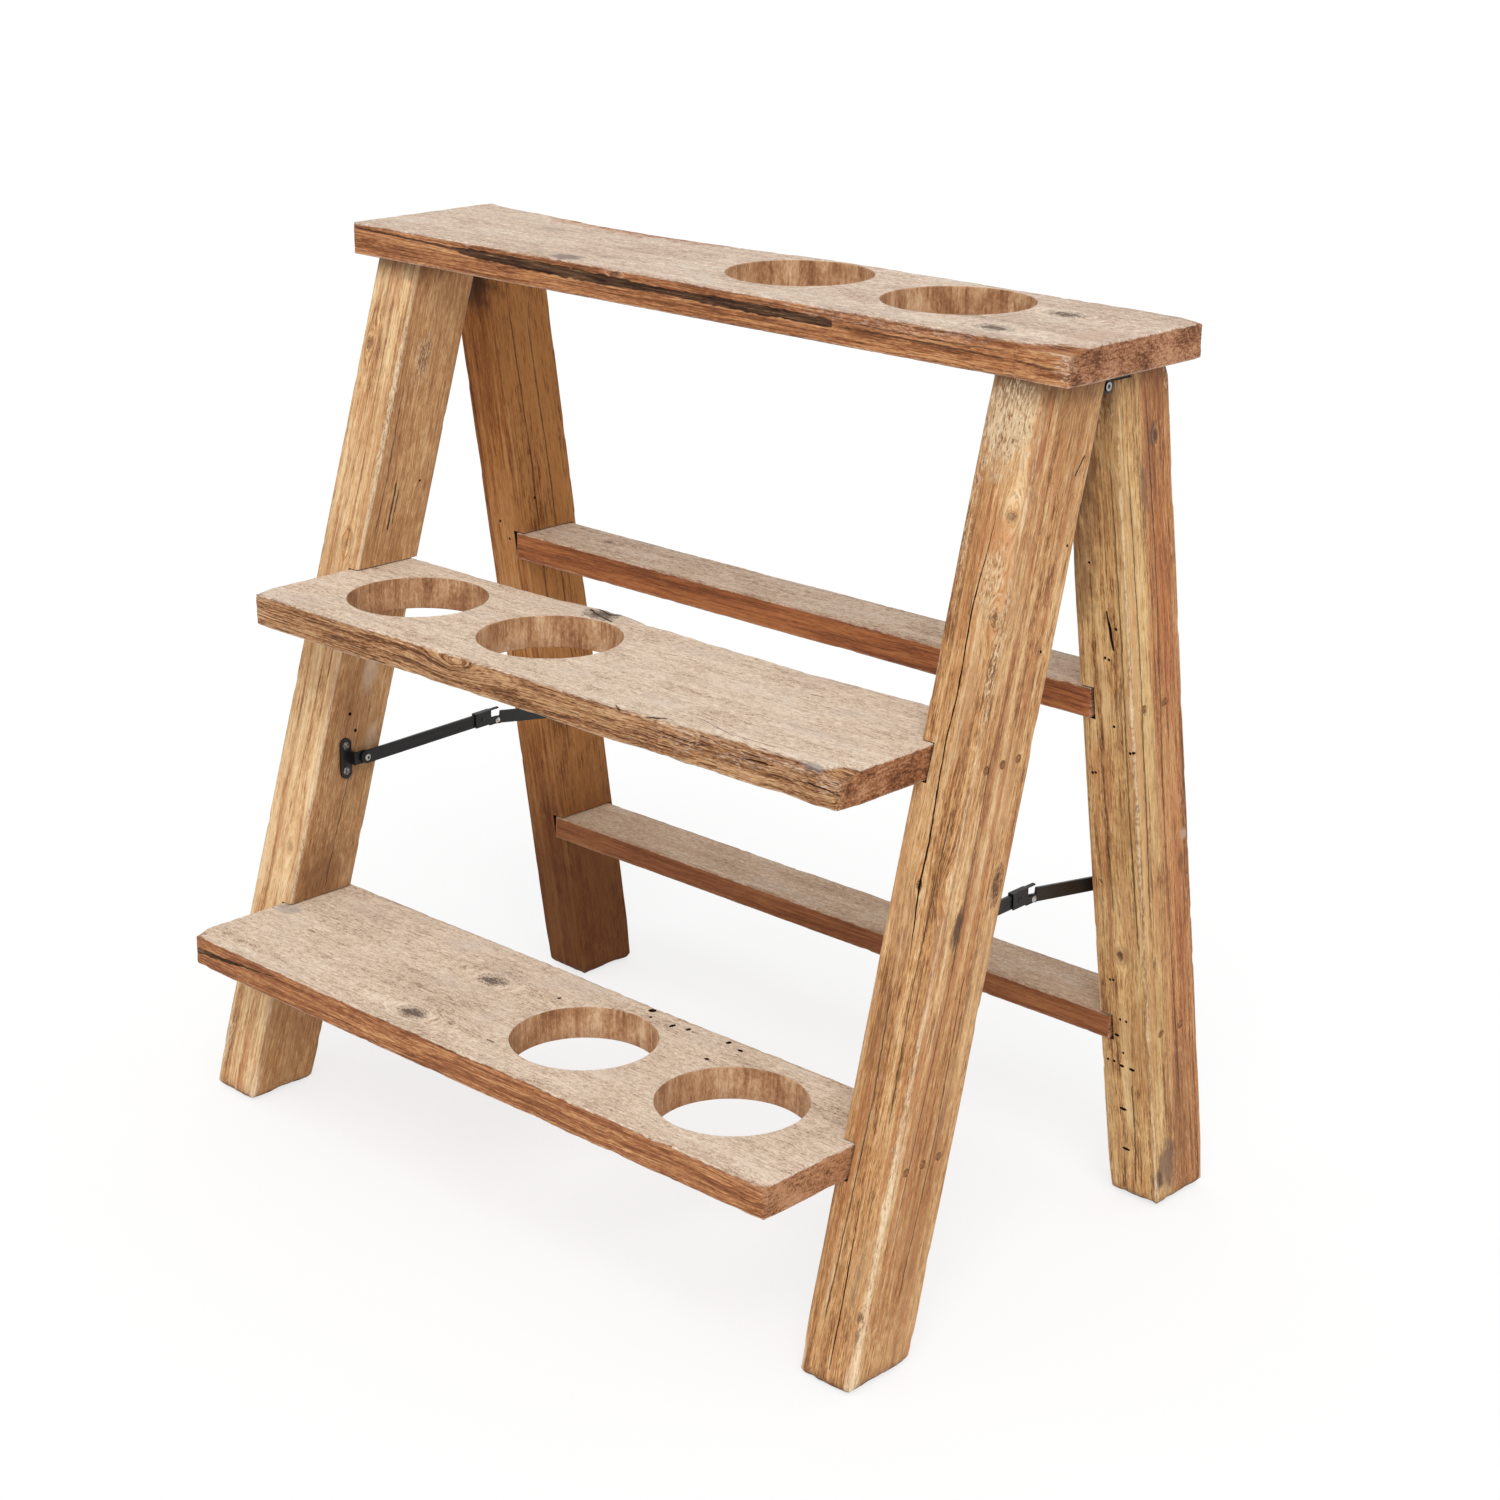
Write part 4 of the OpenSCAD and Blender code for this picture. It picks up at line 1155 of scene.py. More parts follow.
def bore(piece, node, chamfer):
    """Bores a board's pot holes where the frame's mounts have them, with eased edges above and below."""
    low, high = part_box(node)
    for mount in frame["record"]["mounts"]:
        if mount["kind"] != "bore" or not mount["name"].startswith(node.split("_")[0]):
            continue
        x, y, _ = mount["pos_m"]
        radius = mount["dims"]["r_mm"] * MM
        clear_selection()
        bpy.ops.mesh.primitive_cylinder_add(
            vertices=HOLE_SIDES, radius=radius, depth=high.z - low.z - 2.4 * chamfer,
            location=(x, y, (low.z + high.z) / 2))
        cutter = bpy.context.active_object
        cutter.name = "hole_cutter"
        settle(cutter)
        for side in (-1, 1):
            choose(cutter, "faces", lambda face: face.normal.z * side > 0.9)
            bpy.ops.mesh.extrude_region_move(TRANSFORM_OT_translate={"value": (0, 0, side * 2.0 * chamfer)})
            bpy.ops.transform.resize(
                value=(1 + 1.6 * chamfer / radius,) * 2 + (1,), center_override=(x, y, 0))
            bpy.ops.mesh.extrude_region_move(TRANSFORM_OT_translate={"value": (0, 0, side * CUTTER_REACH)})
            leave()
        cut_with(piece, cutter, BORED)


def flush_plugs(material):
    """The plugs over the top board's hidden screws, planed flush."""
    plugs = from_node("flush_plugs", "top_board_plugs", material)
    choose(plugs, "faces", lambda face: face.normal.z > 0.9)
    bpy.ops.transform.translate(value=(0, 0, -PLUG_SUNK))
    bpy.ops.mesh.bevel(offset=PLUG_EASE, segments=2, affect="EDGES")
    leave()
    done(plugs, "front_frame", "top_board_plugs")


class STAND_OT_top_board(bpy.types.Operator):
    """Builds the top board with its two pot holes, groove and worn edges"""
    bl_idname = "stand.top_board"
    bl_label = "Top board"

    def execute(self, context):
        wear, wood = context.scene.stand_wear, context.scene.stand_wood
        place, half, top = board_place("top_board")
        hu, hv, _ = half
        knots = [
            (top(267, 14), (9.5, 6, 17), 1.0), (top(272, 86), (10.5, 6, 17), 1.0),
            ((-hu, 8.8, -58), (5, 2.6, 8), 0.8)]
        blots = [
            (top(-119, -2), (12, 3, 17), (112, 100, 96), 0.7),
            (top(-98, 20), (9, 3, 10), (150, 132, 120), 0.45),
            ((-hu, hv, -216), (4, 4, 6), (244, 236, 228), 0.85),
            (top(-220, 77), (10, 3, 16), (170, 150, 138), 0.4),
            (top(296, -12), (3, 4, 26), (84, 66, 58), 0.8),
            (top(330, 40), (30, 3, 16), (196, 164, 140), 0.4)]
        scars = [((-hu, 0, 345), (10, 12, 8), 0.45), ((-hu, 8, 200), (4, 5, 120), 0.25)]
        lines = [
            (0, -hu, [(-348, 8.4), (-300, 7.6), (-236, 6.0)], 1.0, 0.85),
            (0, -hu, [(152, 1.0), (250, 0.4), (345, -2)], 0.8, 0.7),
            (0, -hu, [(170, 4.6), (240, 3.6), (310, 4.2)], 0.6, 0.6)]
        board = board_finish(
            "top_board_timber", place, half, board_tones(wood), knots, blots, lines, scars, 1.0)
        bored = bored_finish("top_board_bored", place, 2.0)
        groove = groove_finish("top_board_groove", place)
        materials = [board, bored, groove]
        radii = (
            [(-350, 1.4), (-290, 2.2), (-216, 2.4), (-150, 1.4), (100, 1.6), (250, 2.0), (300, 3.2),
             (350, 3.6)],
            [(-350, 3.0), (-200, 3.5), (0, 2.2), (300, 2.2), (350, 4.6)])
        front = [
            (-350, 0.5), (-300, 0.9), (-240, 0.6), (0, 0.4), (260, 0.7), (300, 1.8), (335, 1.2), (350, 1.8)]
        back = [
            (-350, 5), (-331, 9.5), (-283, 10.0), (-240, 12.0), (-223, 14.0), (-170, 15.5), (-101, 13.0),
            (-40, 11.0), (-3, 8.0), (30, 6.0), (88, 5.5), (150, 4.5), (215, 4.0), (263, 3.4), (310, 3.0),
            (342, 3.0), (350, 4.5)]
        drops = [((-hu, 350), (26, 44), 3.6), ((hu, -170), (60, 190), 1.6), ((hu, 350), (16, 20), 1.4)]
        spots = [
            (top(-216, -13), (3, 3, 7), 2.0), (top(-283, -13), (3, 3, 6), 1.8),
            (top(267, 14), (4, 3, 12), 0.8), (top(272, 86), (5, 3, 11), 0.6),
            (top(296, -12), (3, 4, 24), 1.2), ((-hu, 8.8, -58), (3, 3, 7), 0.8)]
        piece = worn_board(
            "worn_top_board", materials, place, half, wear, radii, (front, back), (3.0, 4.5, 4.0, 5.0),
            drops, spots, 100, (62, 13, 18, 18))
        bore(piece, "top_board", wear.hole_chamfer)
        crack(
            piece, place, (0, -1, hu),
            [(-244, 5.6), (-200, 4.8), (-150, 3.9), (-90, 3.4), (-31, 3.0), (20, 2.6), (80, 2.4),
             (150, 1.8)],
            [(-244, 0.8), (-228, 4.0), (-205, 7.0), (-140, 8.2), (-60, 7.6), (-31, 5.6), (10, 5.0),
             (34, 6.8), (110, 7.4), (142, 6.2), (150, 4.6)],
            3.2, materials.index(groove), 110, 0.6, 0.86)
        done(piece, "front_frame", "top_board")
        flush_plugs(board)
        return {"FINISHED"}


class STAND_OT_middle_step(bpy.types.Operator):
    """Builds the middle step with its eroded front edge, knot and two pot holes"""
    bl_idname = "stand.middle_step"
    bl_label = "Middle step"

    def execute(self, context):
        wear, wood = context.scene.stand_wear, context.scene.stand_wood
        place, half, top = board_place("middle_step")
        hu, hv, _ = half
        tones = board_tones(wood)
        tones.update(
            edge=(162, 114, 75), edge_dark=(116, 73, 43), edge_pale=(192, 147, 105), gold=(216, 178, 135),
            end=(162, 107, 70), edge_deep=(70, 44, 27), **LIT_TOPS)
        knots = [(top(-68, -17), (12, 7, 17), 1.0)]
        blots = [
            (top(-66, -16), (17, 4, 30), (164, 148, 134), 0.5),
            (top(272, -158), (6, 4, 20), (128, 122, 122), 0.6),
            (top(150, -20), (14, 3, 40), (190, 166, 148), 0.3),
            (top(-250, -150), (14, 3, 30), (180, 156, 140), 0.3)]
        lines = [
            (1, hv, trace(top, (-86, -12), (-70, -18), (-48, -25)), 1.6, 0.95),
            (1, hv, trace(top, (-80, -8), (-66, -11), (-58, -9)), 1.2, 0.9),
            (1, hv, trace(top, (171, -49), (182, -47)), 0.8, 0.9),
            (1, hv, trace(top, (92, -160), (105, -166), (125, -160), (140, -157)), 0.8, 0.9),
            (1, hv, trace(top, (150, -140), (190, -150), (230, -148)), 0.5, 0.6),
            (1, hv, trace(top, (215, -158), (245, -163), (262, -160)), 0.6, 0.8)]
        scars = [((-hu, 2, 200), (5, 9, 100), 0.4), ((-hu, 2, 287), (6, 11, 14), 0.5)]
        board = board_finish("middle_step_timber", place, half, tones, knots, blots, lines, scars, 21.0, 1.35)
        bored = bored_finish("middle_step_bored", place, 22.0)
        materials = [board, bored, shared("split_wood", split_finish)]
        radii = (
            [(-297, 4.0), (-260, 3.6), (-200, 3.2), (0, 3.0), (60, 3.8), (130, 6.0), (200, 7.5),
             (297, 8.5)],
            [(-297, 1.4), (-60, 2.5), (297, 1.6)])
        front = [
            (-297, 1.0), (-280, 0.6), (-230, 0.5), (-172, 0.8), (-123, 2.6), (-70, 2.2), (-16, 2.4),
            (39, 1.4), (90, 1.6), (125, 3.4), (160, 2.2), (185, 4.2), (215, 2.4), (246, 4.6), (277, 2.0),
            (297, 3.4)]
        back = [
            (-297, 7), (-293, 8), (-180, 9), (-118, 7), (-92, 3), (-69, 0.0), (-45, 3), (-23, 6), (29, 7),
            (132, 9), (190, 7), (240, 5), (297, 4)]
        drops = [((-hu, 297), (30, 26), 4.5), ((-hu, 215), (12, 70), 2.2), ((-hu, -297), (18, 18), 1.2)]
        spots = [
            (top(-66, -14), (8, 4, 14), 1.2), (top(-66, -4), (4, 14, 12), 1.4),
            ((-hu, 4, 228), (4, 2.2, 20), 2.2), ((-hu, 1, 175), (4, 1.8, 26), 1.8),
            ((-hu, -3, 262), (4, 2.4, 22), 2.4), ((-hu, 6, 118), (4, 2.0, 24), 1.6),
            ((-hu, 0, 60), (3, 1.6, 40), 1.2), ((-hu, -5, 0), (3, 1.6, 60), 1.0),
            ((-hu, 3, -110), (3, 1.6, 60), 1.0), ((-hu, 5, 286), (5, 3, 9), 2.6)]
        piece = worn_board(
            "worn_middle_step", materials, place, half, wear, radii, (front, back), (6.0, 8.5, 2.0, 2.0),
            drops, spots, 200, (66, 15, 17, 17))
        bore(piece, "middle_step", wear.hole_chamfer)
        crack(piece, place, (0, -1, hu), [(205, 3.5), (225, 5.0), (245, 4.0), (262, 1.0)],
              [(205, 0.3), (228, 1.5), (262, 0.4)], 6.5, SPLIT, 210, 0.6)
        crack(piece, place, (0, -1, hu), [(258, 0.5), (272, 2.2), (284, 1.0), (294, -1.0)],
              [(258, 0.4), (276, 1.6), (294, 1.2)], 7.5, SPLIT, 211, 0.6)
        crack(
            piece, place, (0, -1, hu), [(120, 5.5), (150, 4.0), (182, 3.8)],
            [(120, 0.3), (150, 1.2), (182, 0.3)], 5.5, SPLIT, 212)
        done(piece, "front_frame", "middle_step")
        return {"FINISHED"}


class STAND_OT_bottom_step(bpy.types.Operator):
    """Builds the bottom step with its knots, worm holes, split front edge and two pot holes"""
    bl_idname = "stand.bottom_step"
    bl_label = "Bottom step"

    def execute(self, context):
        wear, wood = context.scene.stand_wear, context.scene.stand_wood
        place, half, top = board_place("bottom_step")
        hu, hv, _ = half
        knots = [(top(-69, -131), (10.0, 6, 15), 1.0), (top(-67.5, -211), (9.5, 6, 15), 1.0)]
        blots = [
            (top(-289, -150), (12, 3, 14), (150, 146, 146), 0.5),
            (top(234, -106), (3, 2, 9), (236, 216, 196), 0.6),
            (top(-104, -112), (3, 2, 5), (238, 222, 206), 0.7),
            (top(-19, -159), (3, 2, 6), (238, 222, 206), 0.6),
            (top(-230, -110), (16, 3, 50), (190, 168, 152), 0.3)]
        lines = [(1, hv, trace(top, (6, -205), (14, -205)), 0.9, 0.8)]
        tones = board_tones(wood)
        tones.update(edge=(156, 99, 62), end=(180, 129, 92), end_dark=(138, 91, 59), **LIT_TOPS)
        scars = [(top(-60, -118), (12, 3, 26), 0.5), (top(110, -95), (12, 3, 60), 0.35)]
        board = board_finish("bottom_step_timber", place, half, tones, knots, blots, lines, scars, 41.0)
        bored = bored_finish("bottom_step_bored", place, 42.0)
        split = shared("split_wood", split_finish)
        groove = groove_finish("bottom_step_groove", place)
        materials = [board, bored, split, groove]
        radii = (
            [(-302, 3.5), (-270, 2.0), (-100, 1.6), (87, 2.2), (167, 2.6), (224, 2.8), (302, 2.2)],
            [(-302, 1.4), (60, 2.4), (302, 1.6)])
        front = [
            (-302, 1.6), (-285, 0.6), (-150, 0.3), (0, 0.5), (87, 1.3), (120, 0.6), (167, 1.6), (200, 0.8),
            (224, 1.8), (265, 1.2), (302, 1.4)]
        back = [(-302, 0.6), (-200, 0.8), (0, 0.8), (60, 1.6), (110, 1.2), (302, 0.6)]
        drops = [((-hu, -302), (14, 16), 2.4), ((-hu, 302), (10, 14), 1.2)]
        spots = [
            (top(-69, -131), (6, 3, 12), 0.9), (top(-67.5, -211), (5, 3, 12), 0.9),
            ((-hu, hv, 87), (3, 3, 10), 1.4), ((-hu, hv, 167), (3, 3, 16), 1.6),
            ((-hu, hv, 224), (3, 3, 12), 1.6), ((-hu, hv, 265), (3, 3, 8), 1.2)]
        piece = worn_board(
            "worn_bottom_step", materials, place, half, wear, radii, (front, back), (6.0, 3.5, 2.0, 2.0),
            drops, spots, 300, (62, 13, 17, 17))
        bore(piece, "bottom_step", wear.hole_chamfer)
        crack(
            piece, place, (0, -1, hu), [(-304, -0.8), (-280, 0.4), (-255, 2.2), (-230, 4.0), (-200, 6.4)],
            [(-304, 5.8), (-280, 4.8), (-255, 3.4), (-230, 2.0), (-200, 0.4)], 3.6, materials.index(groove),
            310, 0.7, 0.8)
        worms = [
            (-9.4, -118.9, 1.3, 1, 1.4), (55.2, -86.2, 2.4, 1.3, 1.3), (63.1, -81.4, 1.3, 1.5, 1),
            (75.4, -81.2, 1.2, 1.7, 1), (84.4, -95, 1.8, 1, 1.8), (97.1, -91.5, 1.6, 1, 1.6),
            (102.5, -92.5, 0.9, 1, 1), (133.5, -87.5, 1.7, 1.1, 1.5), (148.7, -91.5, 1.3, 2.0, 1.3),
            (141.2, -118.3, 1.3, 1.7, 1.3), (62.3, -95.3, 1.2, 1, 1.2)]
        pits(piece, place, (1, 1, hv), [(x, top(x, y)[0], *size) for x, y, *size in worms], SPLIT, 4.0)
        done(piece, "front_frame", "bottom_step")
        return {"FINISHED"}


class STAND_OT_rungs(bpy.types.Operator):
    """Builds the two rungs of the rear frame"""
    bl_idname = "stand.rungs"
    bl_label = "Rungs"

    def execute(self, context):
        wear, wood = context.scene.stand_wear, context.scene.stand_wood
        for number, node in enumerate(("upper_rung", "lower_rung")):
            place, half, top = board_place(node)
            tones = board_tones(wood)
            tones.update(
                edge=tuple(wood.rung_edge), edge_dark=(124, 71, 40), edge_pale=(178, 114, 68),
                gold=(190, 126, 76), top=(204, 180, 156), top_dark=(178, 150, 126), top_deep=(128, 100, 78),
                top_pale=(216, 196, 174), top_white=(230, 214, 196), rubbed=(200, 164, 132))
            if node == "lower_rung":
                tones.update(
                    edge=(140, 86, 52), edge_pale=(160, 104, 64), gold=(170, 114, 70), top=(186, 158, 132),
                    top_pale=(202, 178, 152))
            knots, spots = [], []
            if node == "upper_rung":
                knots = [(top(-218, 138), (4, 4, 8), 0.7), (top(-254, 151), (2.5, 3, 5), 0.6)]
                spots = [(top(-218, 138), (4, 3, 8), 0.6)]
            board = board_finish(
                f"{node}_timber", place, half, tones, knots, seed=61.0 + 9 * number, harsh=0.6)
            piece = worn_board(
                f"worn_{node}", [board, board, shared("split_wood", split_finish)], place, half, wear,
                ([(-300, 1.6), (300, 1.8)], [(-300, 1.8), (300, 1.6)]),
                ([(-300, 0.4), (300, 0.4)], [(-300, 0.5), (-100, 1.2), (120, 0.8), (300, 0.5)]),
                (1.5,) * 4, [], spots, 400 + 50 * number, (24, 10, 15, 15))
            done(piece, "rear_frame", node)
        return {"FINISHED"}


def stile_place(kind, side):
    """A stile's own frame: across to the right, through towards the back and along upwards from the hinge."""
    top = Vector((side * kind["top_x"], kind["front_y"], HINGE_DROP)) * MM
    centre = Vector((-side * kind["width"] / 2, STILE_DEPTH / 2, 0)) * MM
    return (Matrix.Translation(HINGE) @ Matrix.Rotation(math.radians(kind["lean"]), 4, "X")
            @ Matrix.Translation(top) @ Matrix.Rotation(math.radians(-side * kind["splay"]), 4, "Y")
            @ Matrix.Translation(centre))


def stile_node(kind, side):
    """The name of a stile's node."""
    return f"{kind['frame']}_{SIDES[side]}_stile"


def stile_arrises(new, half, side, base, radii, seed):
    """Rounds a stile's four long arrises and returns how bare the wood is at each point, from 0 to 1. The
    keys of radii are an arris's side, where 1 is the outer one, and its face, where 1 is the back."""
    hu, hv = half
    at = new.copy()
    along = at[:, 2]
    edge_off = np.full(len(at), 1e9)
    wear_at = np.zeros(len(at))
    for key, (su, sv) in enumerate(((-1, -1), (1, -1), (-1, 1), (1, 1))):
        radius = follow(along, radii.get((su * side, sv), [(-700, base), (0, base)]))
        radius = radius * (1 + 0.3 * rough(along / 55.0, seed + key))
        radius = radius + chips(along, seed + 40 + key, 19.0, 1.1)
        radius = np.clip(radius + 3.2 * fade(1 - (along - along.min()) / 48.0), 0.5, 9)
        round_off(new, 0, 1, su, sv, (hu, hv), radius)
        off = np.hypot(hu - su * at[:, 0], hv - sv * at[:, 1])
        wear_at = np.where(off < edge_off, radius, wear_at)
        edge_off = np.minimum(edge_off, off)
    patchy = np.clip(0.18 + 0.2 * wear_at + 0.45 * rough(along / 60.0, seed + 8), 0, 1)
    return fade((wear_at * 0.8 + 1.0 - edge_off) / 2.4) * patchy


def worn_foot(new, half, place, floor, foot):
    """Rounds a stile's foot and returns how high each point stands above the floor."""
    to_world = np.array(place)
    rise = (new * MM @ to_world[:3, :3].T + to_world[:3, 3])[:, 2] * 1000 - floor * 1000
    for axis in (0, 1):
        for side in (-1, 1):
            a = half[axis] - side * new[:, axis]
            da, db = foot - a, foot - rise
            d = np.hypot(da, db)
            out = (da > 0) & (db > 0) & (d > foot)
            new[out, axis] = (side * (half[axis] - foot + da * foot / np.maximum(d, 1e-9)))[out]
            up = (foot - db * foot / np.maximum(d, 1e-9)) - rise
            new[out, 2] += up[out]
            rise = rise + np.where(out, up, 0)
    return rise


def notch(piece, name, low, high, number):
    """Cuts a box out of a piece, between two corners in the frame."""
    cut_with(piece, block(name, WORLD, low, high), number)


def leaf_seat(piece, side):
    """Lowers a rear stile's top under the hinge's leaf, across its whole width."""
    low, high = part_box(f"{SIDES[side]}_hinge_rear_leaf")
    notch(piece, "leaf_seat",
          (low.x * 1000 - 6, low.y * 1000 - 1, high.z * 1000 - LEAF_THICKNESS),
          (high.x * 1000 + 6, high.y * 1000 + 0.03, high.z * 1000 + 20), SKIN)


def worn_stile(kind, side, timber, wear, radii, spots, seed, slack=0.0003):
    """A leaning stile: sawn level at the floor and under the board, with worn arrises and feet, and housed
    for the boards that it carries. slack is how much deeper a housing is than its board, in metres."""
    place, node = stile_place(kind, side), stile_node(kind, side)
    half = hu, hv = kind["width"] / 2, STILE_DEPTH / 2
    low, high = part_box(node)
    piece = block(f"worn_{node}", place, (-hu, -hv, STILE_LOW), (hu, hv, STILE_HIGH))
    saw(piece, low.z, -1)
    saw(piece, high.z, 1)
    ease_edges(piece, STILE_BEVEL)
    grid(piece, place, 22, 28, 18, 18)
    clad(piece, [timber, timber, shared("split_wood", split_finish)])
    at = places(piece, place)
    new = at.copy()
    bare = stile_arrises(new, half, side, wear.stile_arris * 1000, radii, seed)
    foot = wear.foot_round * 1000 * (1 + 0.35 * rough(at[:, :2] / 12.0, seed + 12))
    rise = worn_foot(new, half, place, low.z, foot)
    shift(piece, place, new - at)
    store(piece, "bare", np.clip(bare * fade(rise / 3.0 + 0.2), 0, 1))
    at = places(piece, place)
    press(piece, wear.relief * 1000 * waves(at, 6.0, 90.0, seed + 30) + dents(at, spots))
    # the housings' faces take the dark split material, which shows as painted shade in the small gap above
    # and below each board
    for board in kind["carries"]:
        low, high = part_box(board)
        out = Vector((slack, 0.0, HOUSING_SLACK))
        notch(piece, f"{board}_housing", (low - out) * 1000, (high + out) * 1000, SPLIT)
    if kind is REAR:
        leaf_seat(piece, side)
    return piece, place


def finish_stile(piece, place, kind, side):
    """Opens the small hollows in which the nail heads sit, gives the stile its shading and body, and hides
    its node.
    """
    for board in kind["carries"]:
        mesh = frame["nodes"][f"{board}_nails"].data
        points = np.array([place.inverted() @ v.co for v in mesh.vertices if v.co.x * side > 0]) * 1000
        outer = points[points[:, 0] * side > (points[:, 0] * side).max() - 0.4]
        heads = [np.mean(group, 0) for group in clusters(outer[:, 1:], 6.5)]
        pits(piece, place, (0, side, kind["width"] / 2), [(along, through, 3.3) for through, along in heads],
             SKIN, 1.2)
    done(piece, f"{kind['frame']}_frame", stile_node(kind, side))


def front_right_stile(wear, wood):
    """The front stile on the right: two long cracks down its front face and a torn outer arris."""
    hu, hv = FRONT["width"] / 2, STILE_DEPTH / 2
    tones = stile_tones(wood)
    high_line = [
        (-108, 1.2), (-137, -0.7), (-168, -3.7), (-197, -2.5), (-226, -1.7), (-253, -3.4), (-283, -2.7),
        (-324, -0.9), (-355, -1.8), (-400, 1.8)]
    low_line = [(-563, 1.1), (-609, 2.1), (-637, 2.9), (-686, 2.8)]
    knots = [
        ((hu, 20.6, -347.8), (5, 5.4, 16), 1.0), ((-2.2, -hv, -354), (2.6, 4, 5), 1.0),
        ((19.5, -hv, -643.6), (2.5, 3, 4), 0.7), ((16, -hv, -172), (4, 3, 7), 0.8),
        ((13, -hv, -106), (5, 3, 4), 0.6)]
    blots = [
        ((-3, -hv, -46), (27, 4, 42), (232, 204, 164), 0.55),
        ((hu, -13.5, -377.5), (4, 5.2, 17), (78, 56, 42), 0.9),
        ((hu, -25, -64), (3, 5, 16), (170, 100, 64), 0.7),
        ((8, -hv, -235), (10, 4, 70), (160, 104, 66), 0.45),
        ((hu, 5, -580), (4, 32, 160), (164, 104, 58), 0.6),
        ((hu, -8, -300), (4, 8, 160), (176, 116, 78), 0.35),
        ((-8, -hv, -440), (14, 4, 120), (150, 100, 64), 0.4),
        ((8, -hv, -120), (12, 4, 16), (196, 128, 82), 0.5)]
    scars = [
        ((hu, -hv, -200), (5.5, 5.5, 58), 0.7), ((hu, -hv, -560), (5, 5, 140), 0.5),
        ((-3, -hv, -46), (24, 4, 40), 0.8), ((8, -hv, -150), (10, 4, 30), 0.65),
        ((-20, -hv, -110), (5, 4, 60), 0.5)]
    lines = [
        (1, -hv, [(-300, 12), (-420, 9), (-520, 12)], 0.6, 0.7),
        (0, hu, [(-58.6, 22.1), (-73.8, 16)], 1.0, 0.9),
        (0, hu, [(-400, 4), (-520, 8), (-640, 3)], 0.6, 0.7),
        (1, -hv, [(-420, -8), (-500, -5), (-660, -9)], 0.7, 0.7),
        (0, hu, [(-250, -14), (-420, -10), (-600, -16)], 0.6, 0.6)]
    timber = stile_finish(FRONT, 1, tones, knots, blots, lines, scars, 3.0, harsh=0.86)
    torn = [
        (0, 1.6), (-80, 2.2), (-140, 1.8), (-230, 1.7), (-380, 2.0), (-450, 3.2), (-560, 3.8), (-690, 4.4)]
    radii = {(1, -1): torn, (-1, -1): [(0, 1.6), (-700, 1.9)], (1, 1): [(0, 1.8), (-700, 2.6)]}
    spots = [
        ((20.3, -hv, -90), (3, 3, 6), 1.2), ((hu, -hv, -136.5), (3, 3, 6), 1.4),
        ((hu, -hv, -178.6), (3, 3, 5), 1.2), ((hu, -hv, -640), (4, 4, 10), 1.8),
        ((hu, -hv, -668), (4, 4, 9), 1.8), ((hu, -hv, -560), (4, 4, 12), 1.6),
        ((hu, 20.6, -347.8), (4, 3, 12), 1.6), ((hu, -hv, -480), (4, 4, 16), 1.4)]
    piece, place = worn_stile(FRONT, 1, timber, wear, radii, spots, 500, 0.0012)
    crack(
        piece, place, (1, -1, hv), high_line,
        [(-400, 0.4), (-354, 2.2), (-283, 1.4), (-226, 1.3), (-168, 1.5), (-108, 0.4)], 5.0, SPLIT, 510)
    crack(
        piece, place, (1, -1, hv), low_line,
        [(-563, 0.3), (-620, 1.2), (-670, 1.0), (-686, 0.8)], 5.0, SPLIT, 511)
    pits(piece, place, (0, 1, hu), [(-118.6, 23, 1.1), (-189.8, 17.2, 1.1)])
    finish_stile(piece, place, FRONT, 1)


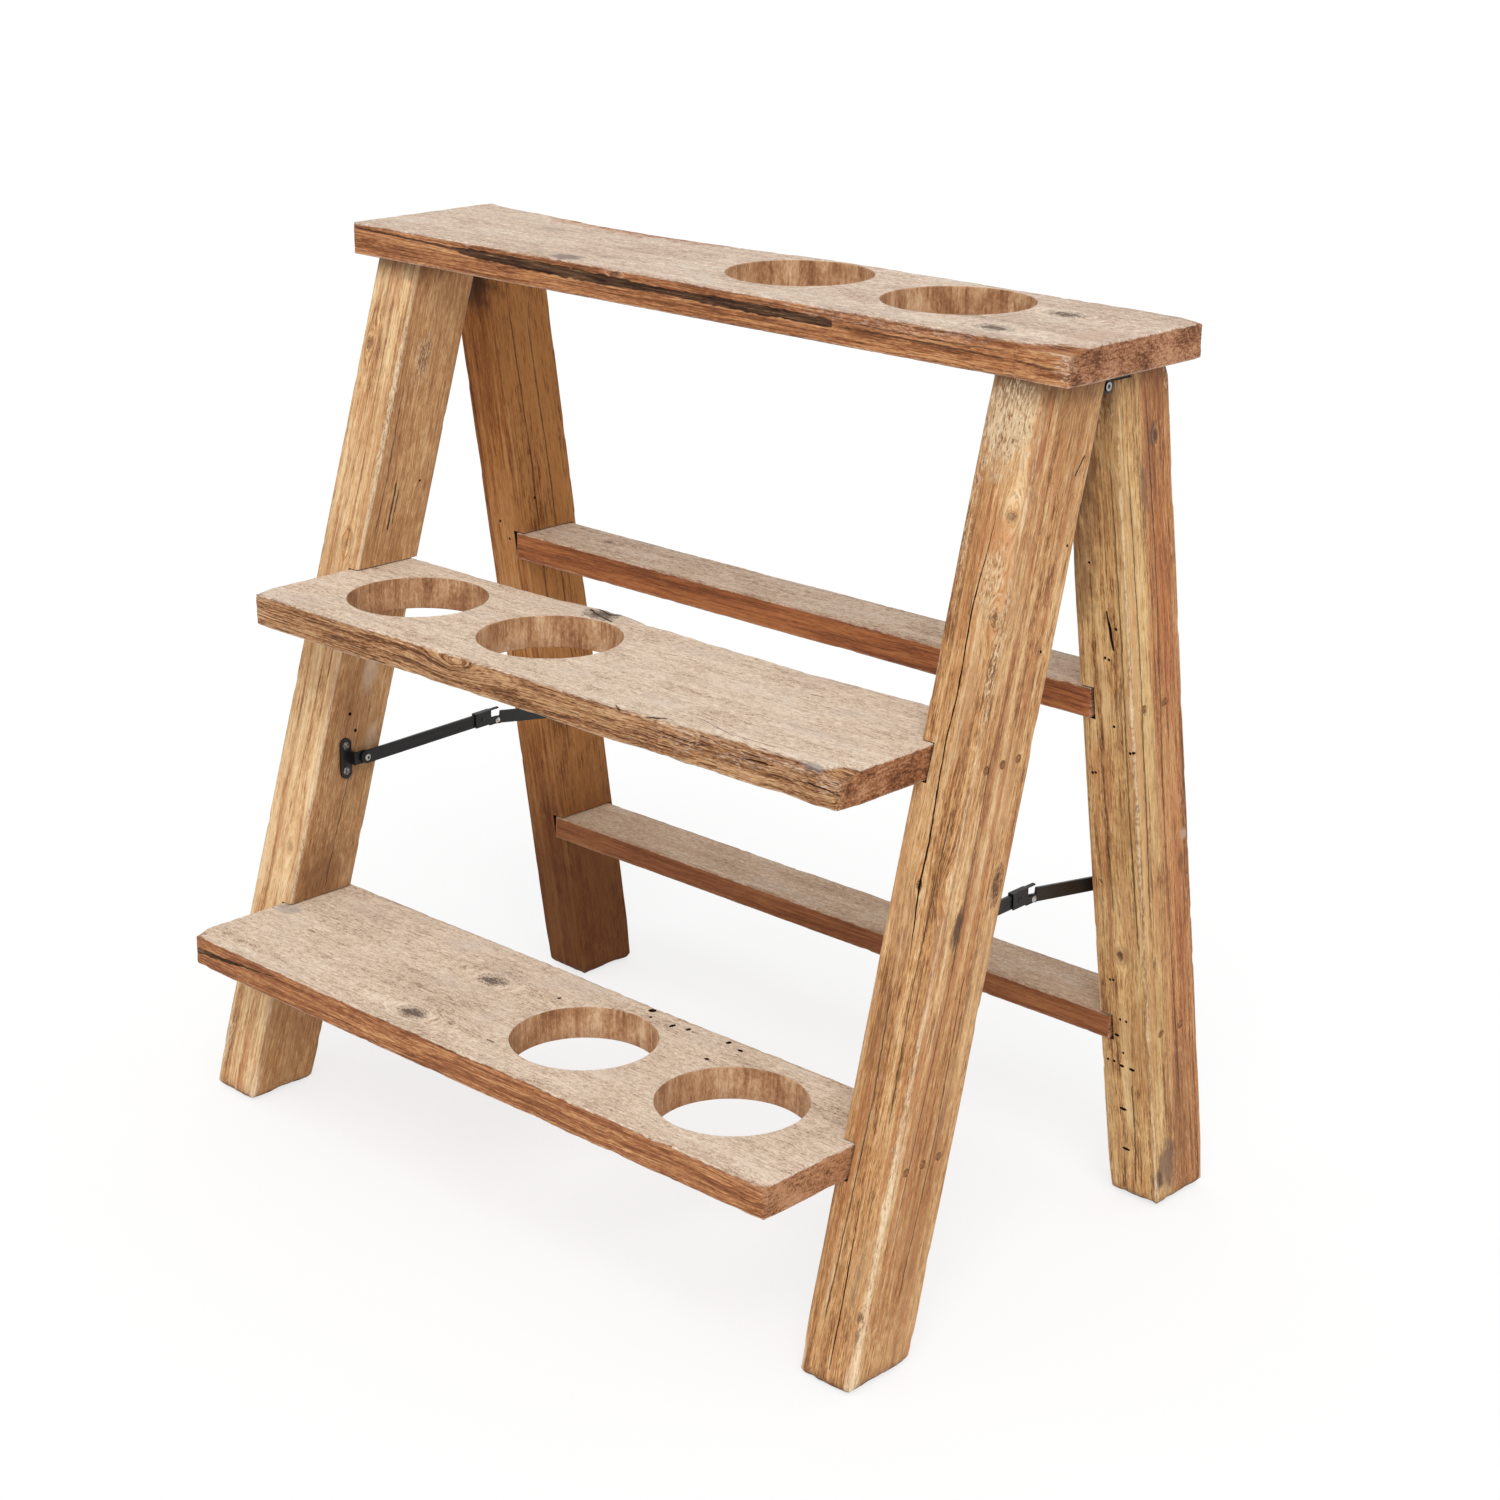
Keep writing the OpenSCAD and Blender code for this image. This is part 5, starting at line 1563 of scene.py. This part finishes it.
def front_left_stile(wear, wood):
    """The front stile on the left: paler timber, of which the inner face shows."""
    hu, hv = FRONT["width"] / 2, STILE_DEPTH / 2
    tones = stile_tones(wood)
    tones.update(
        honey=(220, 178, 128), pale=(238, 206, 160), brown=(196, 146, 96), dark=(158, 110, 70),
        pore=(120, 80, 48))
    knots = [
        ((-13.8, -hv, -85.6), (4, 4, 7), 0.45), ((4.5, -hv, -242.8), (4, 4, 5), 0.4),
        ((9.3, -hv, -488.6), (4, 4, 6), 0.4)]
    blots = [
        ((hu, 4, -340), (4, 9, 20), (222, 200, 172), 0.65),
        ((hu, 19.5, -391), (3, 7, 15), (216, 194, 166), 0.55),
        ((hu, 22, -506), (3, 7, 12), (206, 170, 130), 0.5), ((hu, -5, -86), (3, 7, 16), (108, 72, 46), 0.5),
        ((hu, -18, -560), (3, 14, 60), (128, 84, 52), 0.4),
        # the next two blots are painted shade on the inner face below the middle step
        ((hu, 0, -400), (3, 34, 110), (116, 74, 44), 0.3),
        ((hu, -2, -512), (6, 36, 56), (118, 76, 46), 0.7)]
    scars = [
        ((hu, -hv, -130), (5, 5, 100), 0.8), ((-hu, -hv, -650), (12, 6, 30), 0.8),
        ((-hu, -hv, -300), (4, 4, 200), 0.5), ((hu, -6, -90), (3, 9, 22), 0.7),
        ((hu, -hv, -480), (3, 3, 120), 0.6)]
    lines = [
        (0, hu, [(-187, -7.4), (-227, -7.4)], 0.9, 0.95), (0, hu, [(-192, -3.6), (-222, -3.9)], 0.6, 0.8),
        (0, hu, [(-110, -20), (-180, -18), (-230, -19)], 0.5, 0.6),
        (0, hu, [(-420, 4), (-520, 2)], 0.6, 0.6), (1, -hv, [(-40, 3), (-200, 6), (-330, 4)], 0.4, 0.4)]
    timber = stile_finish(
        FRONT, -1, tones, knots, blots, lines, scars, 5.0, inner=((180, 131, 84), 0.85), harsh=0.72)
    radii = {(-1, -1): [(0, 2.6), (-120, 3.2), (-250, 2.6), (-700, 2.4)], (1, -1): [(0, 1.6), (-700, 1.8)]}
    spots = [
        ((hu, -hv, -60), (4, 4, 20), 1.2), ((hu, -hv, -130), (4, 4, 16), 1.4),
        ((hu, -5, -86), (3, 7, 14), 0.7), ((hu, -hv, -190), (4, 4, 22), 1.0)]
    piece, place = worn_stile(FRONT, -1, timber, wear, radii, spots, 600)
    pits(piece, place, (0, 1, hu), [(-183.4, 16, 1.1), (-375, -7.9, 1.6), (-388, 1.2, 1.6)])
    finish_stile(piece, place, FRONT, -1)


class STAND_OT_front_stiles(bpy.types.Operator):
    """Builds the two front stiles, housed for the steps"""
    bl_idname = "stand.front_stiles"
    bl_label = "Front stiles"

    def execute(self, context):
        wear, wood = context.scene.stand_wear, context.scene.stand_wood
        front_right_stile(wear, wood)
        front_left_stile(wear, wood)
        return {"FINISHED"}


def rear_right_stile(wear, wood):
    """The rear stile on the right: red heartwood towards the back and worm holes down its front face."""
    hu, hv = REAR["width"] / 2, STILE_DEPTH / 2
    tones = stile_tones(wood)
    tones.update(
        honey=(210, 165, 108), brown=(180, 134, 82), pale=(226, 190, 134), heart=(180, 118, 70),
        heart_pale=(206, 152, 100), heart_dark=(126, 74, 42))
    knots = [
        ((0.1, -hv, -451.6), (3.2, 4, 5), 0.95), ((hu, 11.4, -62), (4, 3, 6), 0.8),
        ((hu, -14.9, -255.7), (3, 2, 4), 0.7), ((hu, -18.2, -458), (3, 2.4, 6), 0.7),
        ((22.0, -hv, -327), (2, 3, 5), 0.6)]
    blots = [
        ((hu, 12, -180), (4, 12, 130), (190, 110, 64), 0.35),
        ((hu, -24, -300), (4, 6, 300), (220, 180, 124), 0.5),
        ((hu, 4, -70), (4, 9, 50), (128, 72, 44), 0.6), ((hu, 14, -420), (4, 10, 120), (168, 96, 56), 0.35),
        ((hu, 20, -30), (4, 12, 24), (150, 92, 56), 0.5), ((hu, 2, -600), (4, 26, 90), (140, 98, 62), 0.4),
        ((hu, 23.4, -369), (3, 4, 6), (196, 170, 150), 0.7),
        ((hu, 18.6, -390), (3, 4, 12), (96, 66, 50), 0.6),
        ((hu, -15, -632), (4, 13, 26), (112, 82, 70), 0.75),
        ((hu, -27, -640), (5, 6, 12), (76, 50, 36), 0.8), ((hu, -4, -96), (4, 4.5, 30), (122, 84, 66), 0.7),
        # the second blot below and the two after it are painted shade on the front face's inner half, next to
        # the front right stile
        ((hu, 9, -60), (4, 5, 10), (96, 66, 56), 0.85), ((-8, -hv, -90), (20, 5, 90), (124, 84, 50), 0.55),
        ((-16, -hv, -70), (19, 5, 49), (92, 58, 34), 0.6),
        ((-17, -hv, -150), (18, 5, 49), (112, 74, 44), 0.5),
        ((0, -hv, -452), (12, 3, 12), (160, 114, 72), 0.5),
        # both blots below are painted shade at the stile's top, under the board and the hinge
        ((0, -hv, -12), (30, 8, 26), (104, 68, 40), 0.75), ((hu, 0, -4), (4, 30, 8), (110, 66, 42), 0.6)]
    lines = [
        (1, -hv, [(-392, -15.3), (-395, -12)], 1.2, 0.9),
        (1, -hv, [(-60, 14), (-200, 16), (-330, 15), (-460, 17)], 0.8, 0.6),
        (1, -hv, [(-300, -6), (-420, -4)], 0.6, 0.5), (1, -hv, [(-560, 4), (-600, 5), (-650, 3)], 0.8, 0.8),
        (0, hu, [(-80, -20), (-240, -18), (-420, -21)], 0.8, 0.7),
        (0, hu, [(-20, 2), (-160, 5), (-330, 1), (-600, 4)], 0.7, 0.6)]
    scars = [
        ((hu, hv, -20), (5, 8, 30), 0.6), ((hu, -hv, -330), (3, 3, 300), 0.5),
        ((0, -hv, -30), (22, 3, 26), 0.6)]
    timber = stile_finish(
        REAR, 1, tones, knots, blots, lines, scars, 7.0, heart=(0.5, 1.0, -3.0, 7.0), harsh=0.8)
    radii = {(1, 1): [(0, 6.0), (-30, 3.0), (-700, 2.4)], (1, -1): [(0, 1.6), (-700, 2.2)]}
    spots = [
        ((hu, 23.4, -369), (3, 4, 7), 0.8), ((0.1, -hv, -451.6), (4, 3, 5), 0.8),
        ((hu, hv, -8), (6, 8, 16), 2.4)]
    piece, place = worn_stile(REAR, 1, timber, wear, radii, spots, 700, 0.0022)
    dots = [
        (-190.2, 11.8, 0.9), (-214, 1.2, 0.8), (-214.8, 4.4, 0.8), (-144.6, -8, 0.7), (-306.7, -15.4, 0.9),
        (-306, -12.7, 0.8), (-283.3, 18.5, 0.9), (-282.5, 21, 0.8), (-265.6, 5.8, 0.8),
        (-474.7, -10.3, 0.8), (-474.2, -7.5, 0.8), (-506.4, -3.1, 0.8), (-506.7, 2.3, 0.8),
        (-521, -7, 0.9, 1.8, 1), (-534.9, -2.1, 0.8), (-545, -16.4, 0.8), (-544.9, -10.9, 0.9),
        (-546.8, -4, 0.9, 1.8, 1), (-547.2, 5.1, 0.9, 2.2, 1), (-584.9, -5, 0.9, 2.8, 1),
        (-620.3, -4.3, 0.9, 3.0, 1)]
    pits(piece, place, (1, -1, hv), [(w, u, 1.4 * r, *longer) for w, u, r, *longer in dots])
    crack(
        piece, place, (1, -1, hv), [(-178, 4.6), (-190, 6.4), (-207, 8.8)],
        [(-178, 1.2), (-193, 3.2), (-207, 1.6)], 9.0, SPLIT, 710, 0.3)
    finish_stile(piece, place, REAR, 1)


def rear_left_stile(wear, wood):
    """The rear stile on the left: darker timber, darker still towards its foot."""
    hu, hv = REAR["width"] / 2, STILE_DEPTH / 2
    tones = stile_tones(wood)
    tones.update(
        honey=(176, 116, 60), brown=(144, 89, 44), dark=(106, 60, 31), deep=(84, 42, 18),
        pale=(190, 140, 90), red=(144, 88, 48), rubbed=(196, 150, 104), worn=(190, 146, 100),
        pore=(84, 50, 27))
    # both blots are painted shade at the stile's top, under the board
    blots = [((4, -hv, -24), (24, 40, 34), (70, 44, 24), 0.7), ((0, 0, -3), (40, 40, 7), (84, 52, 30), 0.5)]
    lines = [
        (0, hu, [(-60, 4), (-200, 7), (-330, 5)], 0.8, 0.6),
        (0, hu, [(-40, -14), (-180, -11), (-350, -15)], 0.8, 0.6)]
    timber = stile_finish(
        REAR, -1, tones, (), blots, lines, seed=9.0, inner=((176, 122, 70), 0.85),
        darker_below=(-360, -600, 0.75), harsh=0.5, sheen=0.1)
    piece, place = worn_stile(REAR, -1, timber, wear, {}, [], 800, 0.0022)
    pits(piece, place, (1, -1, hv), [(-233.8, -5.7, 1.2), (-247.8, 3.3, 1.2)])
    pits(piece, place, (0, 1, hu), [(-213.4, -12.8, 1.3)])
    finish_stile(piece, place, REAR, -1)


class STAND_OT_rear_stiles(bpy.types.Operator):
    """Builds the two rear stiles, housed for the rungs"""
    bl_idname = "stand.rear_stiles"
    bl_label = "Rear stiles"

    def execute(self, context):
        wear, wood = context.scene.stand_wear, context.scene.stand_wood
        rear_right_stile(wear, wood)
        rear_left_stile(wear, wood)
        return {"FINISHED"}


# ======================================================================
# Metal
# ======================================================================

def dress(node, material, bevel=0.25):
    """Gives a CAD node its finish, and eased edges where its shape allows them."""
    thing = frame["nodes"][node]
    clad(thing, [material])
    if bevel:
        weld = thing.modifiers.new("weld", "WELD")
        weld.merge_threshold = MERGE_REACH
        edges = thing.modifiers.new("edges", "BEVEL")
        edges.width, edges.segments, edges.limit_method = bevel * MM, 2, "ANGLE"
        edges.angle_limit, edges.harden_normals = math.radians(40), True


def cross_headed(name, node, body, material, inward):
    """Screws with a cross recess in each head. inward is the direction in which they are driven."""
    piece = from_node(name, node, material)
    axis = max(range(3), key=lambda i: abs(inward[i]))
    facing = Vector(inward).to_track_quat("Z", "Y").to_matrix().to_4x4()
    co = np.array([v.co for v in piece.data.vertices])
    outer = co[:, axis] * -inward[axis]
    made = []
    for group in clusters(co[outer > outer.max() - HEAD_DEPTH], HEAD_REACH):
        centre = (np.max(group, 0) + np.min(group, 0)) / 2
        centre[axis] = -inward[axis] * outer.max()
        # a low dome on the flat head, then the slots of the cross
        choose(piece, "faces", lambda face: face.normal[axis] * -inward[axis] > 0.9
               and (face.calc_center_median() - Vector(centre)).length < 0.003)
        for rise, share in DOME_STEPS:
            bpy.ops.mesh.extrude_region_move(
                TRANSFORM_OT_translate={"value": [-rise * direction for direction in inward]})
            bpy.ops.transform.resize(
                value=[1 if inward[i] else share for i in range(3)], center_override=centre)
        leave()
        centre[axis] -= inward[axis] * SLOT_SUNK
        for turn in (0.5, 0.5 + math.pi / 2):
            clear_selection()
            bpy.ops.mesh.primitive_cube_add(size=1, location=centre)
            tool = bpy.context.active_object
            tool.scale = SLOT_SIZE
            tool.rotation_euler = (facing @ Matrix.Rotation(turn, 4, "Z")).to_euler()
            made.append(tool)
    for tool in made:
        settle(tool)
        cut(piece, tool, "EXACT")
    done(piece, body, node, 35)


class STAND_OT_fasteners(bpy.types.Operator):
    """Finishes the nails and the top board's hidden screws"""
    bl_idname = "stand.fasteners"
    bl_label = "Nails and board screws"

    def execute(self, context):
        metals = context.scene.stand_metal
        nail = nail_finish(metals)
        bright = shared("bright_steel_dulled", bright_steel_finish, metals)
        for node in ("middle_step_nails", "bottom_step_nails", "upper_rung_nails", "lower_rung_nails"):
            dress(node, nail, 0.3)
        dress("top_board_screws", bright, 0.0)
        return {"FINISHED"}


class STAND_OT_hinges(bpy.types.Operator):
    """Finishes the two butt hinges under the top board"""
    bl_idname = "stand.hinges"
    bl_label = "Hinges"

    def execute(self, context):
        metals = context.scene.stand_metal
        black = shared("black_steel_satin", black_steel_finish, metals)
        bright = shared("bright_steel_dulled", bright_steel_finish, metals)
        ringed = highlight_ring_finish("pin_end", metals, HINGE, 1.5, 3.0)
        for side in SIDES.values():
            for leaf in ("front", "rear"):
                dress(f"{side}_hinge_{leaf}_leaf", black)
                dress(f"{side}_hinge_{leaf}_screws", bright, 0.15)
            dress(f"{side}_hinge_pin", ringed, 0.2)
        return {"FINISHED"}


class STAND_OT_stays(bpy.types.Operator):
    """Finishes the two folding stays: brackets, links, clips, rivets and cross headed screws"""
    bl_idname = "stand.stays"
    bl_label = "Folding stays"

    def execute(self, context):
        metals = context.scene.stand_metal
        black = shared("black_steel_satin", black_steel_finish, metals)
        bright = shared("bright_steel_dulled", bright_steel_finish, metals)
        low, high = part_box("left_stay_front_rivet")
        ringed = highlight_ring_finish("rivet_end", metals, (low + high) / 2, 1.2, 2.7)
        dull = bracket_screw_finish()
        rivets = {"front_rivet": ringed, "rear_rivet": bright, "clip_rivet": black, "knuckle_pin": bright}
        for sign, side in SIDES.items():
            for part in ("front_bracket", "rear_bracket", "front_link", "rear_link", "clip"):
                dress(f"{side}_stay_{part}", black)
            for part, metal in rivets.items():
                dress(f"{side}_stay_{part}", metal, 0.2)
            for part, body in (("front", "front_frame"), ("rear", "rear_frame")):
                cross_headed(
                    f"{side}_{part}_bracket_screws", f"{side}_stay_{part}_screws", body,
                    dull, (sign, 0, 0))
        return {"FINISHED"}


# ======================================================================
# Stage
# ======================================================================

class STAND_OT_stage(bpy.types.Operator):
    """Lays the floor, hangs the lights and sets up the camera"""
    bl_idname = "stand.stage"
    bl_label = "Floor, light and camera"

    def execute(self, context):
        scene, settings = context.scene, context.scene.stand_stage
        clear_selection()
        bpy.ops.mesh.primitive_plane_add(size=FLOOR_SIZE, location=(0, 0, 0))
        floor = bpy.context.active_object
        floor.name = "floor"
        f = Finish("studio_floor")
        cloud = f.noise(f.place(), (900, 900, 900), 2, 0.5)
        colour = f.mix(cloud * 0.1, tuple(settings.floor), (244, 244, 244))
        lit = f.node("ShaderNodeBsdfDiffuse", None, {"Color": colour})
        white = f.node("ShaderNodeEmission", None, {"Color": (1, 1, 1, 1), "Strength": 1.0})
        shader = f.node(
            "ShaderNodeMixShader", None, {0: f.seen() * FLOOR_GLOW, 1: lit.outputs[0], 2: white.outputs[0]})
        f.node("ShaderNodeOutputMaterial", None, {"Surface": shader.outputs[0]})
        floor.data.materials.append(f.material)

        scene.world = bpy.data.worlds.new("studio")
        f = Finish("studio", scene.world)
        strength = f.seen() * (1 - settings.sky) + settings.sky
        sky = f.node("ShaderNodeBackground", None, {"Color": (1, 1, 1, 1), "Strength": strength})
        f.node("ShaderNodeOutputWorld", None, {"Surface": sky.outputs[0]})

        lamp = bpy.data.lights.new("key", "SUN")
        lamp.energy, lamp.angle = settings.key, math.radians(LAMP_ANGLE)
        key = bpy.data.objects.new("key", lamp)
        key.rotation_euler = Vector(LAMP_DIRECTION).to_track_quat("-Z", "Y").to_euler()
        scene.collection.objects.link(key)

        azimuth, height, roll = (math.radians(a) for a in (CAMERA_AZIMUTH, CAMERA_HEIGHT, CAMERA_ROLL))
        back = Vector((
            math.sin(azimuth) * math.cos(height), -math.cos(azimuth) * math.cos(height), math.sin(height)))
        right = Vector((math.cos(azimuth), math.sin(azimuth), 0))
        up = back.cross(right)
        cosine, sine = math.cos(roll), math.sin(roll)
        right, up = cosine * right + sine * up, -sine * right + cosine * up
        data = bpy.data.cameras.new("camera")
        data.lens, data.sensor_width = CAMERA_LENS, CAMERA_SENSOR
        data.shift_x, data.shift_y = CAMERA_SHIFT
        camera = bpy.data.objects.new("camera", data)
        scene.collection.objects.link(camera)
        turn = Matrix((right, up, back)).transposed().to_4x4()
        camera.matrix_world = Matrix.Translation(CAMERA_PLACE) @ turn
        scene.camera = camera
        scene.view_settings.view_transform = "Standard"
        return {"FINISHED"}


class STAND_PT_panel(bpy.types.Panel):
    """Lists the stand's pieces in the sidebar"""
    bl_label = "Plant ladder stand"
    bl_idname = "STAND_PT_panel"
    bl_space_type = "VIEW_3D"
    bl_region_type = "UI"
    bl_category = "Stand"

    def draw(self, context):
        for operator in OPERATORS:
            self.layout.operator(operator.bl_idname)
        for group in GROUPS:
            settings = getattr(context.scene, group)
            box = self.layout.box()
            for key in settings.__annotations__:
                box.prop(settings, key)


OPERATORS = (
    STAND_OT_top_board, STAND_OT_middle_step, STAND_OT_bottom_step, STAND_OT_rungs, STAND_OT_front_stiles,
    STAND_OT_rear_stiles, STAND_OT_fasteners, STAND_OT_hinges, STAND_OT_stays, STAND_OT_stage)
GROUPS = {
    "stand_wear": StandWear, "stand_wood": StandWood, "stand_metal": StandMetal, "stand_stage": StandStage}


def register():
    for item in (*GROUPS.values(), *OPERATORS, STAND_PT_panel):
        bpy.utils.register_class(item)
    for name, group in GROUPS.items():
        setattr(bpy.types.Scene, name, bpy.props.PointerProperty(type=group))


def unregister():
    for name in GROUPS:
        delattr(bpy.types.Scene, name)
    for item in reversed((*GROUPS.values(), *OPERATORS, STAND_PT_panel)):
        bpy.utils.unregister_class(item)


def main():
    register()
    for operator in OPERATORS:
        group, name = operator.bl_idname.split(".")
        getattr(getattr(bpy.ops, group), name)()


if __name__ == "__main__":
    main()
